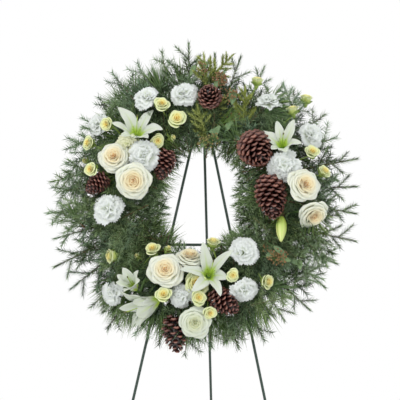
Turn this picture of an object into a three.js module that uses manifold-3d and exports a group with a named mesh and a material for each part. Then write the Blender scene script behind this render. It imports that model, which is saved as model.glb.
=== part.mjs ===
// Funeral wreath of evergreens, white flowers and pine cones on a folding wire easel.
// Millimetres, +Z up, the wreath faces -Y.
import * as THREE from 'three';
import { mergeVertices } from 'three/addons/utils/BufferGeometryUtils.js';
import Module from 'manifold-3d';

const wasm = await Module();
wasm.setup();

// Easel
const wireWidth = 7;
const wireSides = 8;
const stemSides = 5;
const pivotHeight = 1345;
const frameLean = 9;
const backLegLean = 19;
const legTopHalfSpread = 14;
const legSlope = 0.214;
const shoulderUp = 205;
const pivotUp = 300;
const crossbarUp = -107;
const prongReach = 58;
const eyeClearance = 0.6;

// Ring
const ringRadius = 220;
const trayHalfWidth = 30;
const trayWall = 2;
const trayDepth = 20;
const foamFace = 42;
const ringSegments = 32;

// Greens
// One bundle for each ninth of the ring, counter-clockwise from the right: how many fronds
// stand up between the flowers, and how close its inner fronds come to the ring's centre
const bundles = [
  { upright: 0, inner: 78 },
  { upright: 0, inner: 118 },
  { upright: 2, inner: 122 },
  { upright: 1, inner: 128 },
  { upright: 0, inner: 74 },
  { upright: 2, inner: 78 },
  { upright: 1, inner: 118 },
  { upright: 0, inner: 104 },
  { upright: 3, inner: 92 },
];
const rootBand = 11;
const fanThickness = 11;
const ridgeLift = 48;
const outerSlope = 0.24;
const innerSlope = 0.16;
const bridges = [-14, 0, 13];
const frondThickness = 15;

// Clearance between neighbours, and sides of the round envelopes that keep it
const gap = 0.3;
const envelopeSides = 8;

// Places on the ring are given by clock angle in degrees from the right, counter-clockwise,
// by distance from the ring's centre, and by lift in front of the tray's back.
const roses = {
  rose_left_upper: { angle: 155, distance: 234, lift: 92, size: 80 },
  rose_left_lower: { angle: 166, distance: 162, lift: 108, size: 86 },
  rose_right_upper: { angle: 6, distance: 262, lift: 100, size: 80 },
  rose_right_lower: { angle: -8, distance: 286, lift: 72, size: 72 },
  rose_bottom_large: { angle: -113, distance: 198, lift: 108, size: 80 },
  rose_bottom_back: { angle: -98, distance: 152, lift: 84, size: 68 },
  rose_bottom_low: { angle: -91, distance: 308, lift: 90, size: 72 },
};

const carnations = {
  carnation_top_left: { angle: 118, distance: 288, lift: 74, size: 64 },
  carnation_top: { angle: 99, distance: 265, lift: 76, size: 66 },
  carnation_left_outer: { angle: 144, distance: 322, lift: 54, size: 58 },
  carnation_left_inner: { angle: 144, distance: 172, lift: 96, size: 74 },
  carnation_left_low: { angle: -172, distance: 226, lift: 84, size: 72 },
  carnation_right_top: { angle: 55, distance: 298, lift: 62, size: 66 },
  carnation_right_outer: { angle: 30, distance: 320, lift: 58, size: 64 },
  carnation_right_middle: { angle: 20, distance: 224, lift: 94, size: 74 },
  carnation_low_left: { angle: -132, distance: 318, lift: 60, size: 60 },
  carnation_bottom_right: { angle: -50, distance: 176, lift: 84, size: 66 },
  carnation_bottom_outer: { angle: -64, distance: 254, lift: 84, size: 68 },
};

// open: degrees that the petals rise above flat; turn: roll of the six petals; lean: extra
// outward tilt of the whole flower; skew: sideways tilt
const lilies = {
  lily_left: { angle: 133, distance: 226, lift: 100, petal: 76, open: 20, turn: 8, lean: 4, skew: 0 },
  lily_right: { angle: 33, distance: 242, lift: 100, petal: 66, open: 24, turn: 20, lean: 10, skew: 0 },
  lily_bottom: { angle: -80, distance: 192, lift: 112, petal: 82, open: 14, turn: 0, lean: 0, skew: 0 },
  lily_low_left: { angle: -128, distance: 262, lift: 80, petal: 52, open: 46, turn: 15, lean: 20, skew: 30 },
  lily_low: { angle: -114, distance: 288, lift: 74, petal: 92, open: 42, turn: 30, lean: 62, skew: 18 },
};

// Cones lie across the ring: heading is the clock angle that the cone's tip points to, and
// rise is how far the tip lifts off the ring's plane
const cones = {
  cone_top: { angle: 85, distance: 262, lift: 78, heading: 100, rise: 70, length: 62, width: 58 },
  cone_right_upper: { angle: 41, distance: 184, lift: 94, heading: 120, rise: 48, length: 104, width: 92 },
  cone_right_lower: { angle: -1, distance: 182, lift: 86, heading: -80, rise: 12, length: 118, width: 76 },
  cone_left_inner: { angle: 138, distance: 124, lift: 68, heading: -102, rise: 8, length: 84, width: 52 },
  cone_left_outer: { angle: 173, distance: 262, lift: 68, heading: -140, rise: 14, length: 76, width: 54 },
  cone_bottom_right: { angle: -75, distance: 272, lift: 78, heading: -38, rise: 16, length: 98, width: 66 },
  cone_bottom_left: { angle: -99, distance: 342, lift: 60, heading: -86, rise: 6, length: 96, width: 60 },
};

// A spray is one stem that branches to several small blooms
const sprays = {
  spray_roses_left: [
    { angle: 141, distance: 292, lift: 92, size: 40 },
    { angle: 153, distance: 310, lift: 62, size: 42 },
    { angle: 161, distance: 304, lift: 46, size: 26 },
    { angle: 165, distance: 276, lift: 84, size: 38 },
  ],
  spray_roses_top: [
    { angle: 112, distance: 252, lift: 88, size: 40 },
    { angle: 106, distance: 206, lift: 86, size: 44 },
    { angle: 126, distance: 178, lift: 84, size: 36 },
    { angle: 115, distance: 168, lift: 72, size: 24 },
  ],
  spray_roses_right_top: [
    { angle: 65, distance: 330, lift: 52, size: 40 },
    { angle: 44, distance: 318, lift: 66, size: 40 },
    { angle: 44, distance: 364, lift: 44, size: 44 },
  ],
  spray_roses_right: [
    { angle: 22, distance: 298, lift: 84, size: 40 },
    { angle: 12, distance: 312, lift: 70, size: 38 },
  ],
  spray_roses_low_left: [
    { angle: -146, distance: 256, lift: 72, size: 42 },
    { angle: -136, distance: 208, lift: 62, size: 24 },
    { angle: -131, distance: 172, lift: 80, size: 40 },
    { angle: -121, distance: 150, lift: 70, size: 26 },
  ],
  spray_roses_bottom: [
    { angle: -91, distance: 214, lift: 84, size: 36 },
    { angle: -108, distance: 256, lift: 108, size: 40 },
    { angle: -89, distance: 246, lift: 104, size: 40 },
    { angle: -84, distance: 286, lift: 96, size: 36 },
  ],
  spray_roses_bottom_right: [
    { angle: -72, distance: 120, lift: 78, size: 40 },
    { angle: -66, distance: 212, lift: 98, size: 32 },
    { angle: -51, distance: 264, lift: 74, size: 40 },
  ],
};

// Eucalyptus stems run from the foam through these places, with leaf pairs along them
const eucalyptus = {
  eucalyptus_top: { angles: [66, 72, 80, 88], distances: [225, 262, 300, 334], lifts: [52, 84, 84, 66] },
  eucalyptus_inner: { angles: [62, 68, 76, 84], distances: [215, 196, 170, 142], lifts: [52, 78, 84, 72] },
  eucalyptus_low: { angles: [-36, -38, -36, -34], distances: [205, 232, 258, 290], lifts: [52, 76, 82, 72] },
};

const colours = {
  easelGreen: { color: 0x1f3a2c, roughness: 0.45, metalness: 0.3 },
  trayGreen: { color: 0x2c4a2f, roughness: 0.6, metalness: 0 },
  foam: { color: 0x3f6b3c, roughness: 0.95, metalness: 0 },
  tieWire: { color: 0x5d6b58, roughness: 0.5, metalness: 0.6 },
  rosePetal: { color: 0xf4ead2, roughness: 0.6, metalness: 0 },
  carnationPetal: { color: 0xf6f6ee, roughness: 0.7, metalness: 0 },
  lilyPetal: { color: 0xf4f6ea, roughness: 0.5, metalness: 0 },
  lilyBud: { color: 0xb9cf62, roughness: 0.5, metalness: 0 },
  sprayPetal: { color: 0xefe8b4, roughness: 0.6, metalness: 0 },
  coneScale: { color: 0x6a3524, roughness: 0.45, metalness: 0 },
  eucalyptusLeaf: { color: 0x7f9a63, roughness: 0.6, metalness: 0 },
  evergreen: { color: 0x3c6240, roughness: 0.7, metalness: 0 },
};

const degrees = Math.PI / 180;
const lengthwise = new THREE.Vector3(0, 1, 0);
const outward = new THREE.Vector3(0, 0, 1);

// ---------- Frame of the wreath: x right, z up in the ring's plane, y away from the viewer

const point = (right, up, lift) => new THREE.Vector3(right, -lift, up);

function onRing({ angle, distance, lift }) {
  return point(distance * Math.cos(angle * degrees), distance * Math.sin(angle * degrees), lift);
}

// A flower faces forward, and leans outward more the further it is from the ring's middle line
function facing({ angle, distance, lean = 0, skew = 0 }) {
  const tilt = ((distance - 200) * 0.22 + lean) * degrees;
  const side = skew * degrees;
  const radial = onRing({ angle, distance: 1, lift: 0 });
  const across = onRing({ angle: angle + 90, distance: 1, lift: 0 });
  return point(0, 0, 1)
    .multiplyScalar(Math.cos(tilt))
    .addScaledVector(radial, Math.sin(tilt))
    .addScaledVector(across, Math.sin(side))
    .normalize();
}

// ---------- Solids

function solidOf(geometry) {
  const bare = geometry.index ? geometry.clone() : geometry;
  bare.deleteAttribute('normal');
  bare.deleteAttribute('uv');
  const merged = mergeVertices(bare, 1e-4);
  return new wasm.Manifold(new wasm.Mesh({
    numProp: 3,
    vertProperties: new Float32Array(merged.attributes.position.array),
    triVerts: new Uint32Array(merged.index.array),
  }));
}

function moved(solid, position, turn = new THREE.Quaternion()) {
  const size = new THREE.Vector3(1, 1, 1);
  return solid.transform(new THREE.Matrix4().compose(position, turn, size).elements);
}

const joined = (solids) => solids.reduce((whole, next) => whole.add(next));

function largestBody(solid) {
  const bodies = solid.decompose();
  return bodies.reduce((best, body) => (body.volume() > best.volume() ? body : best));
}

function meshOf(name, solid, look) {
  const { vertProperties, numProp, triVerts } = solid.getMesh();
  const geometry = new THREE.BufferGeometry();
  const positions = [];
  for (let i = 0; i < vertProperties.length; i += numProp) {
    positions.push(vertProperties[i], vertProperties[i + 1], vertProperties[i + 2]);
  }
  geometry.setAttribute('position', new THREE.Float32BufferAttribute(positions, 3));
  geometry.setIndex(Array.from(triVerts));
  geometry.computeVertexNormals();
  const mesh = new THREE.Mesh(geometry, new THREE.MeshStandardMaterial({ ...look, flatShading: true }));
  mesh.name = name;
  return mesh;
}

// Straight round bar, or a tapered one, between two points
function bar(from, to, width, endWidth = width, sides = wireSides) {
  const run = new THREE.Vector3().subVectors(to, from);
  const length = run.length();
  const cylinder = new THREE.CylinderGeometry(endWidth / 2, width / 2, length, sides);
  cylinder.translate(0, length / 2, 0);
  const turn = new THREE.Quaternion().setFromUnitVectors(lengthwise, run.normalize());
  return moved(solidOf(cylinder), from, turn);
}

// Bent wire: straight bars with a ball at each bend
function wire(points, width) {
  const bars = points.slice(1).map((to, i) => bar(points[i], to, width));
  const balls = points.slice(1, -1).map((bend) => {
    const ball = new THREE.SphereGeometry(width * 0.53, wireSides, wireSides / 2);
    return moved(solidOf(ball), bend);
  });
  return joined([...bars, ...balls]);
}

// Thin stem or tie wire: square bars that run on past each bend by half their width
function thinWire(points, width) {
  const bars = points.slice(1).map((to, i) => {
    const past = new THREE.Vector3().subVectors(to, points[i]).setLength(width / 2);
    return bar(points[i], to.clone().add(past), width, width, 4);
  });
  return joined(bars);
}

// Round body turned about its own facing axis, with lobed rows
// A row is [radius, height, lobe depth, lobe turn] in parts of the body's radius
// Grown, it is the plain round envelope of the lobes
function lobedBody(rows, radius, sides, lobes, grow = 0) {
  const profile = rows.map(([r, h]) => new THREE.Vector2(r, h));
  const segments = grow ? envelopeSides : sides;
  const geometry = new THREE.LatheGeometry(profile, segments);
  const place = geometry.attributes.position;
  const size = radius + grow;
  const envelope = (1 + Math.max(...rows.map((row) => row[2]))) / Math.cos(Math.PI / envelopeSides);
  for (let i = 0; i < place.count; i += 1) {
    const row = rows[i % rows.length];
    const around = Math.floor(i / rows.length) % segments;
    const wave = Math.cos(((around / segments) + row[3]) * lobes * 2 * Math.PI);
    const reach = grow ? envelope : 1 + row[2] * wave;
    place.setXYZ(i, place.getX(i) * reach * size, place.getY(i) * size, place.getZ(i) * reach * size);
  }
  geometry.rotateX(Math.PI / 2);
  return solidOf(geometry);
}

// Petal, leaf or sepal: a four-sided spindle, flattened and bent along an arc.
// It grows along +X from the origin, starting at the given rise in degrees. Grown, it is wider
// and runs on past its tip along the same arc
function blade(shape, grow) {
  const rows = [0.6, 1, 0.8];
  const length = shape.length + grow * 24;
  const width = grow ? shape.width * 1.2 + grow * 3 : shape.width;
  const thickness = grow ? shape.thickness * 1.7 + grow * 3 : shape.thickness;
  const { rise } = shape;
  const steps = rows.length + 1;
  const profile = [new THREE.Vector2(0, 0)];
  rows.forEach((half, i) => profile.push(new THREE.Vector2(half, (i + 0.6) / steps)));
  profile.push(new THREE.Vector2(0, 1));
  const geometry = new THREE.LatheGeometry(profile, 4);
  const place = geometry.attributes.position;
  const bend = (shape.curl * degrees * length) / shape.length;
  for (let i = 0; i < place.count; i += 1) {
    const along = place.getY(i);
    const heading = rise * degrees + bend * along;
    const middle = rise * degrees + (bend * along) / 2;
    const across = (-place.getX(i) * width) / 2;
    const through = (place.getZ(i) * thickness) / 2;
    place.setXYZ(
      i,
      length * along * Math.cos(middle) - through * Math.sin(heading),
      across,
      length * along * Math.sin(middle) + through * Math.cos(heading),
    );
  }
  return solidOf(geometry);
}

// ---------- Flowers, each with its head's middle at the origin and facing +Z

const roseRows = [
  [0, -0.78, 0, 0],
  [0.5, -0.6, 0, 0],
  [1, -0.05, 0.07, 0],
  [0.74, 0.02, 0.05, 0],
  [0.76, 0.28, 0.08, 0.1],
  [0.44, 0.26, 0, 0],
  [0.42, 0.46, 0.08, 0],
  [0, 0.36, 0, 0],
];

const carnationRows = [
  [0, -0.95, 0, 0],
  [0.24, -0.9, 0, 0],
  [0.24, -0.42, 0, 0],
  [0.98, -0.06, 0.1, 0],
  [0.72, 0.16, -0.1, 0],
  [0.68, 0.4, 0.12, 0],
  [0, 0.5, 0, 0],
];

const bloomRows = [
  [0, -0.85, 0, 0],
  [0.55, -0.55, 0, 0],
  [1, 0.1, 0.08, 0],
  [0.55, 0.5, 0.08, 0.17],
  [0, 0.42, 0, 0],
];

const roseHead = (size, grow) => lobedBody(roseRows, size / 2.14, 15, 5, grow);
const carnationHead = (size, grow) => lobedBody(carnationRows, size / 2.2, 12, 6, grow);
const bloomHead = (size, grow) => lobedBody(bloomRows, size / 2.16, 6, 3, grow);

function lilyHead({ petal, open, turn }, grow) {
  const parts = [];
  for (let i = 0; i < 6; i += 1) {
    const inner = i % 2;
    const shape = blade({
      length: petal * (inner ? 1 : 0.96),
      width: petal * (inner ? 0.4 : 0.32),
      thickness: 5,
      rise: open + 20,
      curl: -40,
    }, grow);
    const roll = new THREE.Quaternion().setFromAxisAngle(outward, (i * 60 + turn) * degrees);
    const start = new THREE.Vector3(petal * 0.1, 0, -petal * 0.24).applyQuaternion(roll);
    parts.push(moved(shape, start, roll));
  }
  const throat = new THREE.Vector3(0, 0, -petal * 0.5);
  const mouth = new THREE.Vector3(0, 0, -petal * 0.12);
  parts.push(bar(throat, mouth, petal * 0.14 + grow * 3, petal * 0.36 + grow * 3, 6));
  parts.push(bar(mouth, new THREE.Vector3(0, 0, petal * 0.5 + grow), 4 + grow * 3, 5 + grow * 3, stemSides));
  return joined(parts);
}

// Scales of a cone stand out in a lattice, turned half a step from row to row
function coneBody({ length, width }, grow) {
  const rowCount = 8;
  const rows = [[0, -0.5, 0, 0]];
  for (let k = 0; k < rowCount; k += 1) {
    const along = (k + 0.5) / rowCount;
    const half = 0.5 * Math.pow(Math.sin(Math.PI * Math.pow(along, 0.7)), 0.6);
    rows.push([half * 0.92, along - 0.5, 0.09, k % 2 ? 1 / 12 : 0]);
  }
  rows.push([0, 0.5, 0, 0]);
  const body = lobedBody(rows, 1, 12, 6);
  return body.scale([width + grow * 2, width + grow * 2, length + grow * 2]);
}

// Stem from the back of a head to the foam's face
function stemOf(place, neck, width, grow) {
  const root = onRing({
    angle: place.angle,
    distance: Math.min(Math.max(place.distance, ringRadius - rootBand), ringRadius + rootBand),
    lift: foamFace - 2,
  });
  return bar(root, neck, width + grow * 3, width + grow * 3, stemSides);
}

function placedHead(head, place, neckDepth, stemWidth, grow) {
  const face = facing(place);
  const turn = new THREE.Quaternion().setFromUnitVectors(outward, face);
  const middle = onRing(place);
  const neck = middle.clone().addScaledVector(face, -neckDepth);
  return moved(head, middle, turn).add(stemOf(place, neck, stemWidth, grow));
}

const rose = (place, grow) => placedHead(roseHead(place.size, grow), place, place.size * 0.32, 6, grow);

const carnation = (place, grow) => (
  placedHead(carnationHead(place.size, grow), place, place.size * 0.38, 5, grow));

const lily = (place, grow) => placedHead(lilyHead(place, grow), place, place.petal * 0.45, 6, grow);

function cone(place, grow) {
  const along = onRing({ angle: place.heading, distance: 1, lift: 0 });
  const rise = place.rise * degrees;
  const axis = point(0, 0, Math.sin(rise)).addScaledVector(along, Math.cos(rise));
  const turn = new THREE.Quaternion().setFromUnitVectors(outward, axis.normalize());
  const middle = onRing(place);
  return moved(coneBody(place, grow), middle, turn).add(stemOf(place, middle, 4, grow));
}

function sprayOfBlooms(blooms, grow) {
  const middleAngle = blooms.reduce((sum, bloom) => sum + bloom.angle, 0) / blooms.length;
  const fork = onRing({ angle: middleAngle, distance: ringRadius, lift: foamFace + 6 });
  const root = onRing({ angle: middleAngle, distance: ringRadius, lift: foamFace - 2 });
  const parts = [bar(root, fork, 6 + grow * 3, 6 + grow * 3, stemSides)];
  for (const bloom of blooms) {
    const face = facing(bloom);
    const turn = new THREE.Quaternion().setFromUnitVectors(outward, face);
    const middle = onRing(bloom);
    const neck = middle.clone().addScaledVector(face, -bloom.size * 0.35);
    parts.push(moved(bloomHead(bloom.size, grow), middle, turn));
    parts.push(bar(fork, neck, 5 + grow * 3, 4 + grow * 3, stemSides));
  }
  return joined(parts);
}

function lilyBud(grow) {
  const base = onRing({ angle: -12, distance: 208, lift: 66 });
  const tip = onRing({ angle: -29, distance: 232, lift: 74 });
  const run = new THREE.Vector3().subVectors(tip, base);
  const rows = [[0, 0, 0, 0], [0.5, 0.12, 0, 0], [0.8, 0.4, 0, 0], [1, 0.72, 0, 0], [0.5, 0.94, 0, 0], [0, 1, 0, 0]];
  const body = lobedBody(rows, 1, 9, 3).scale([13 + grow, 13 + grow, run.length() + grow]);
  const turn = new THREE.Quaternion().setFromUnitVectors(outward, run.clone().normalize());
  const root = onRing({ angle: -14, distance: 214, lift: foamFace - 2 });
  const neck = base.clone().addScaledVector(run.normalize(), 6);
  return moved(body, base, turn).add(bar(root, neck, 5 + grow * 3, 6 + grow * 3, stemSides));
}

function eucalyptusSpray({ angles, distances, lifts }, grow) {
  const points = angles.map((angle, i) => onRing({ angle, distance: distances[i], lift: lifts[i] }));
  const root = onRing({ angle: angles[0], distance: distances[0], lift: foamFace - 2 });
  const parts = [thinWire([root, ...points], 4 + grow * 3)];
  const curve = new THREE.CatmullRomCurve3(points);
  const pairs = 3;
  for (let i = 1; i <= pairs; i += 1) {
    const t = i / pairs;
    for (const side of [-1, 1]) {
      const leaf = blade({
        length: 34,
        width: 24,
        thickness: 4,
        rise: 12,
        curl: -20,
      }, grow);
      const along = curve.getTangent(t);
      const across = new THREE.Vector3().crossVectors(along, point(0, 0, 1)).normalize();
      const lead = across.multiplyScalar(side).addScaledVector(along, 0.7).normalize();
      const up = point(0, 0, 1).addScaledVector(lead, -point(0, 0, 1).dot(lead)).normalize();
      const basis = new THREE.Matrix4().makeBasis(lead, new THREE.Vector3().crossVectors(up, lead), up);
      parts.push(moved(leaf, curve.getPoint(t), new THREE.Quaternion().setFromRotationMatrix(basis)));
    }
  }
  return joined(parts);
}

// ---------- Greens

// Flat frond with one pair of side twigs, growing along +X and thick in Z
function frond(length, spread) {
  const outline = new THREE.Shape();
  outline.moveTo(0, -6);
  outline.lineTo(length * 0.3, -8);
  outline.lineTo(length * 0.72, -spread / 2);
  outline.lineTo(length * 0.66, -spread * 0.16);
  outline.lineTo(length, 0);
  outline.lineTo(length * 0.66, spread * 0.16);
  outline.lineTo(length * 0.72, spread / 2);
  outline.lineTo(length * 0.3, 8);
  outline.lineTo(0, 6);
  const geometry = new THREE.ExtrudeGeometry(outline, { depth: frondThickness, bevelEnabled: false });
  geometry.translate(0, 0, -frondThickness / 2);
  return solidOf(geometry);
}

function frondFrom(from, to, spread) {
  const run = new THREE.Vector3().subVectors(to, from);
  const lead = run.clone().normalize();
  const up = point(0, 0, 1).addScaledVector(lead, -point(0, 0, 1).dot(lead)).normalize();
  const basis = new THREE.Matrix4().makeBasis(lead, new THREE.Vector3().crossVectors(up, lead), up);
  return moved(frond(run.length(), spread), from, new THREE.Quaternion().setFromRotationMatrix(basis));
}

// Outline of the greens: three slow waves round a mean reach, and a fast one for the sprigs
function reachAt(angle) {
  const a = angle * degrees;
  return 382 + 10 * Math.cos(3 * a + 0.6) + 8 * Math.cos(4 * a - 1.2) + 11 * Math.cos(23 * a);
}

// Flat polar outline, thickened and dropped into a cone that slopes away from the foam's face
function sprigFan(points, slope) {
  const outline = new THREE.Shape(points.map(([angle, distance]) => (
    new THREE.Vector2(distance * Math.cos(angle * degrees), distance * Math.sin(angle * degrees)))));
  const geometry = new THREE.ExtrudeGeometry(outline, { depth: fanThickness, bevelEnabled: false });
  const place = geometry.attributes.position;
  for (let i = 0; i < place.count; i += 1) {
    const distance = Math.hypot(place.getX(i), place.getY(i));
    place.setZ(i, place.getZ(i) + ridgeLift - slope * (distance - ringRadius));
  }
  geometry.rotateX(Math.PI / 2);
  return solidOf(geometry);
}

// Four sprigs that point outwards, each with a pair of side twigs
function outerFan(middleAngle, half) {
  const pitch = half / 2;
  const start = ringRadius + rootBand + 6;
  const points = [[middleAngle + half, start], [middleAngle - half, start]];
  for (let i = 0; i < 4; i += 1) {
    const angle = middleAngle - half + (i + 0.5) * pitch;
    const reach = reachAt(angle);
    points.push(
      [angle - pitch * 0.48, reach * 0.76],
      [angle - pitch * 0.36, reach * 0.9],
      [angle, reach],
      [angle + pitch * 0.36, reach * 0.9],
    );
  }
  points.push([middleAngle + half, reachAt(middleAngle + half) * 0.76]);
  return sprigFan(points, outerSlope);
}

// Two tufts of long needles that point into the ring's hole
function innerFan(middleAngle, half, inner) {
  const start = ringRadius - rootBand - 6;
  const points = [[middleAngle - half, start], [middleAngle + half, start]];
  for (const side of [1, -1]) {
    const angle = middleAngle + (side * half) / 2;
    points.push(
      [angle + half * 0.46, ringRadius - 62],
      [angle + half * 0.3, inner + 24],
      [angle, inner],
      [angle - half * 0.3, inner + 20],
    );
  }
  points.push([middleAngle - half, ringRadius - 62]);
  return sprigFan(points, -innerSlope);
}

function evergreenBundle({ upright, inner }, middleAngle) {
  const half = 180 / bundles.length - 0.1;
  const parts = [outerFan(middleAngle, half), innerFan(middleAngle, half, inner)];
  for (const offset of bridges) {
    const angle = middleAngle + offset;
    parts.push(bar(
      onRing({ angle, distance: ringRadius - rootBand - 14, lift: ridgeLift + 2 }),
      onRing({ angle, distance: ringRadius + rootBand + 14, lift: ridgeLift + 2 }),
      8,
      8,
      stemSides,
    ));
  }
  for (let i = 0; i < upright; i += 1) {
    const angle = middleAngle + (i - (upright - 1) / 2) * 12;
    parts.push(frondFrom(
      onRing({ angle, distance: ringRadius + rootBand + 10, lift: ridgeLift + 2 }),
      onRing({ angle, distance: 322 - 8 * (i % 2), lift: 84 }),
      70,
    ));
  }
  return joined(parts);
}

// ---------- Ring

function turned(profile, segments = ringSegments) {
  const geometry = new THREE.LatheGeometry(profile.map(([r, h]) => new THREE.Vector2(r, h)), segments);
  geometry.rotateX(Math.PI);
  return geometry;
}

function ringTray() {
  const inside = ringRadius - trayHalfWidth;
  const outside = ringRadius + trayHalfWidth;
  return solidOf(turned([
    [inside, 0],
    [outside, 0],
    [outside, trayDepth],
    [outside - trayWall, trayDepth],
    [outside - trayWall, trayWall],
    [inside + trayWall, trayWall],
    [inside + trayWall, trayDepth],
    [inside, trayDepth],
    [inside, 0],
  ]));
}

function foamRing(grow) {
  const clear = trayWall + gap;
  const inside = ringRadius - trayHalfWidth + clear - grow;
  const outside = ringRadius + trayHalfWidth - clear + grow;
  const face = foamFace + grow;
  return solidOf(turned([
    [inside, clear],
    [outside, clear],
    [outside, face - 8],
    [outside - 8, face],
    [inside + 8, face],
    [inside, face - 8],
    [inside, clear],
  ]));
}

// ---------- Easel

const wireRadius = wireWidth / 2;
const frameLift = -(wireRadius + gap);

const legHalfSpread = (up) => legTopHalfSpread + legSlope * Math.max(0, shoulderUp - up);

// The ring's centre sits below the pivot along the leaning frame
const standing = new THREE.Group();
standing.rotation.x = -frameLean * degrees;
standing.position.set(0, 0, pivotHeight - pivotUp * Math.cos(frameLean * degrees));
standing.updateMatrix();

function aboveFloor(solid) {
  const slab = new THREE.BoxGeometry(3000, 3000, 300);
  slab.translate(0, 0, -150);
  slab.applyMatrix4(standing.matrix.clone().invert());
  return solid.subtract(solidOf(slab));
}

const floorUp = -(pivotHeight + 40);

function frontLeg(side) {
  return aboveFloor(wire([
    point(side * legTopHalfSpread, pivotUp + wireRadius, frameLift),
    point(side * legTopHalfSpread, shoulderUp, frameLift),
    point(side * legHalfSpread(floorUp), floorUp, frameLift),
  ], wireWidth));
}

function crossbar() {
  const half = legHalfSpread(crossbarUp) + wireWidth;
  const lift = frameLift - wireWidth - gap;
  return bar(point(-half, crossbarUp, lift), point(half, crossbarUp, lift), wireWidth);
}

function pivotBar() {
  const half = legTopHalfSpread - wireRadius - gap;
  return bar(point(-half, pivotUp, frameLift), point(half, pivotUp, frameLift), wireWidth);
}

// A prong is bent up at its end, just under the tray's rim where the leg passes it
function restProng(side) {
  const rim = ringRadius + trayHalfWidth + wireRadius + gap;
  const right = side * legHalfSpread(-rim * 0.9);
  const up = -Math.sqrt(rim * rim - right * right) - 1;
  return wire([
    point(right, up, gap),
    point(right, up, prongReach),
    point(right, up + 12, prongReach + 10),
  ], wireWidth);
}

// The back leg hangs by an eye round the pivot bar and runs down to the floor behind
function backLeg() {
  const inner = wireRadius + eyeClearance;
  const middle = inner + wireRadius;
  const eye = new THREE.TorusGeometry(middle, wireRadius, 8, 14);
  eye.rotateY(Math.PI / 2);
  const pivot = point(0, pivotUp, frameLift);
  const swing = (frameLean + backLegLean) * degrees;
  const down = point(0, -Math.cos(swing), -Math.sin(swing));
  const top = pivot.clone().addScaledVector(down, middle);
  const foot = pivot.clone().addScaledVector(down, pivotHeight * 1.2);
  return aboveFloor(moved(solidOf(eye), pivot).add(bar(top, foot, wireWidth)));
}

// The tie wire runs once round foam, tray and pivot bar, beside the eye
function hangingWire(grow) {
  const right = 9;
  const inside = ringRadius - trayHalfWidth - 3;
  const outside = ringRadius + trayHalfWidth + 3;
  return thinWire([
    point(right, ringRadius + 3, foamFace + 4),
    point(right, inside, foamFace - 6),
    point(right, inside, -3),
    point(right, outside, -3),
    point(right, pivotUp - 4, frameLift - wireRadius - 2),
    point(right, pivotUp + wireRadius + 2, frameLift),
    point(right, pivotUp - 4, frameLift + wireRadius + 2),
    point(right, outside, foamFace - 6),
    point(right, ringRadius + 12, foamFace + 4),
  ], 2.4 + grow * 3);
}

// ---------- Assembly

// Each piece is trimmed to clear the ones set before it, as crowded flowers give way
const taken = [];

const boxesMeet = (a, b) => [0, 1, 2].every((k) => a.min[k] < b.max[k] && b.min[k] < a.max[k]);

function settle(name, make, look) {
  let solid = make(0);
  const box = solid.boundingBox();
  for (const other of taken) {
    if (boxesMeet(box, other.boundingBox())) solid = solid.subtract(other);
  }
  solid = largestBody(solid).simplify(0.05);
  taken.push(make(gap));
  standing.add(meshOf(name, solid, look));
}

for (const [name, side] of [['left', -1], ['right', 1]]) {
  settle(`front_leg_${name}`, () => frontLeg(side), colours.easelGreen);
  settle(`rest_prong_${name}`, () => restProng(side), colours.easelGreen);
}
settle('pivot_bar', pivotBar, colours.easelGreen);
settle('crossbar', crossbar, colours.easelGreen);
settle('back_leg', backLeg, colours.easelGreen);
settle('ring_tray', ringTray, colours.trayGreen);
settle('foam_ring', foamRing, colours.foam);
settle('hanging_wire', hangingWire, colours.tieWire);

const kinds = [
  [lilies, lily, colours.lilyPetal],
  [roses, rose, colours.rosePetal],
  [cones, cone, colours.coneScale],
  [carnations, carnation, colours.carnationPetal],
  [sprays, sprayOfBlooms, colours.sprayPetal],
];
for (const [places, make, look] of kinds) {
  for (const [name, place] of Object.entries(places)) {
    settle(name, (grow) => make(place, grow), look);
  }
}
settle('lily_bud', lilyBud, colours.lilyBud);
for (const [name, route] of Object.entries(eucalyptus)) {
  settle(name, (grow) => eucalyptusSpray(route, grow), colours.eucalyptusLeaf);
}
bundles.forEach((bundle, i) => {
  const angle = (i * 360) / bundles.length;
  settle(`evergreen_bundle_${i + 1}`, () => evergreenBundle(bundle, angle), colours.evergreen);
});

// The origin is on the floor under the middle of the whole
const model = new THREE.Group();
model.add(standing);
model.updateMatrixWorld(true);
const bounds = new THREE.Box3().setFromObject(model, true);
const middle = bounds.getCenter(new THREE.Vector3());
model.position.set(-middle.x, -middle.y, -bounds.min.z);

export default model;
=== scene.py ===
import math

import bpy
import numpy as np
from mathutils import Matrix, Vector


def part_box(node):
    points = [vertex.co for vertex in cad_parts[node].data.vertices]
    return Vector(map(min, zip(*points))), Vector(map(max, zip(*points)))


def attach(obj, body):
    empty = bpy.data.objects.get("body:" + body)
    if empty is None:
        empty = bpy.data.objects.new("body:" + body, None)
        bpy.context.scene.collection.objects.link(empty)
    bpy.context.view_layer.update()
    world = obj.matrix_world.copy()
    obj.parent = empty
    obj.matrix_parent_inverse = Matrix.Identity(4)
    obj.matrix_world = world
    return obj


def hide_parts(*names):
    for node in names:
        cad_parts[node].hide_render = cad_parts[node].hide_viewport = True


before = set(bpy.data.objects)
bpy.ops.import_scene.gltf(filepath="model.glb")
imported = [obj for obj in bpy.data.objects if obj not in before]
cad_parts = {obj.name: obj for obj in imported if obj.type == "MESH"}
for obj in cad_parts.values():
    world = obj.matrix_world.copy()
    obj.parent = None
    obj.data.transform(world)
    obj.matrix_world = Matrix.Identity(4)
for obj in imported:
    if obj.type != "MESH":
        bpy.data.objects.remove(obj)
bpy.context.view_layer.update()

rng = np.random.default_rng(11)

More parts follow.
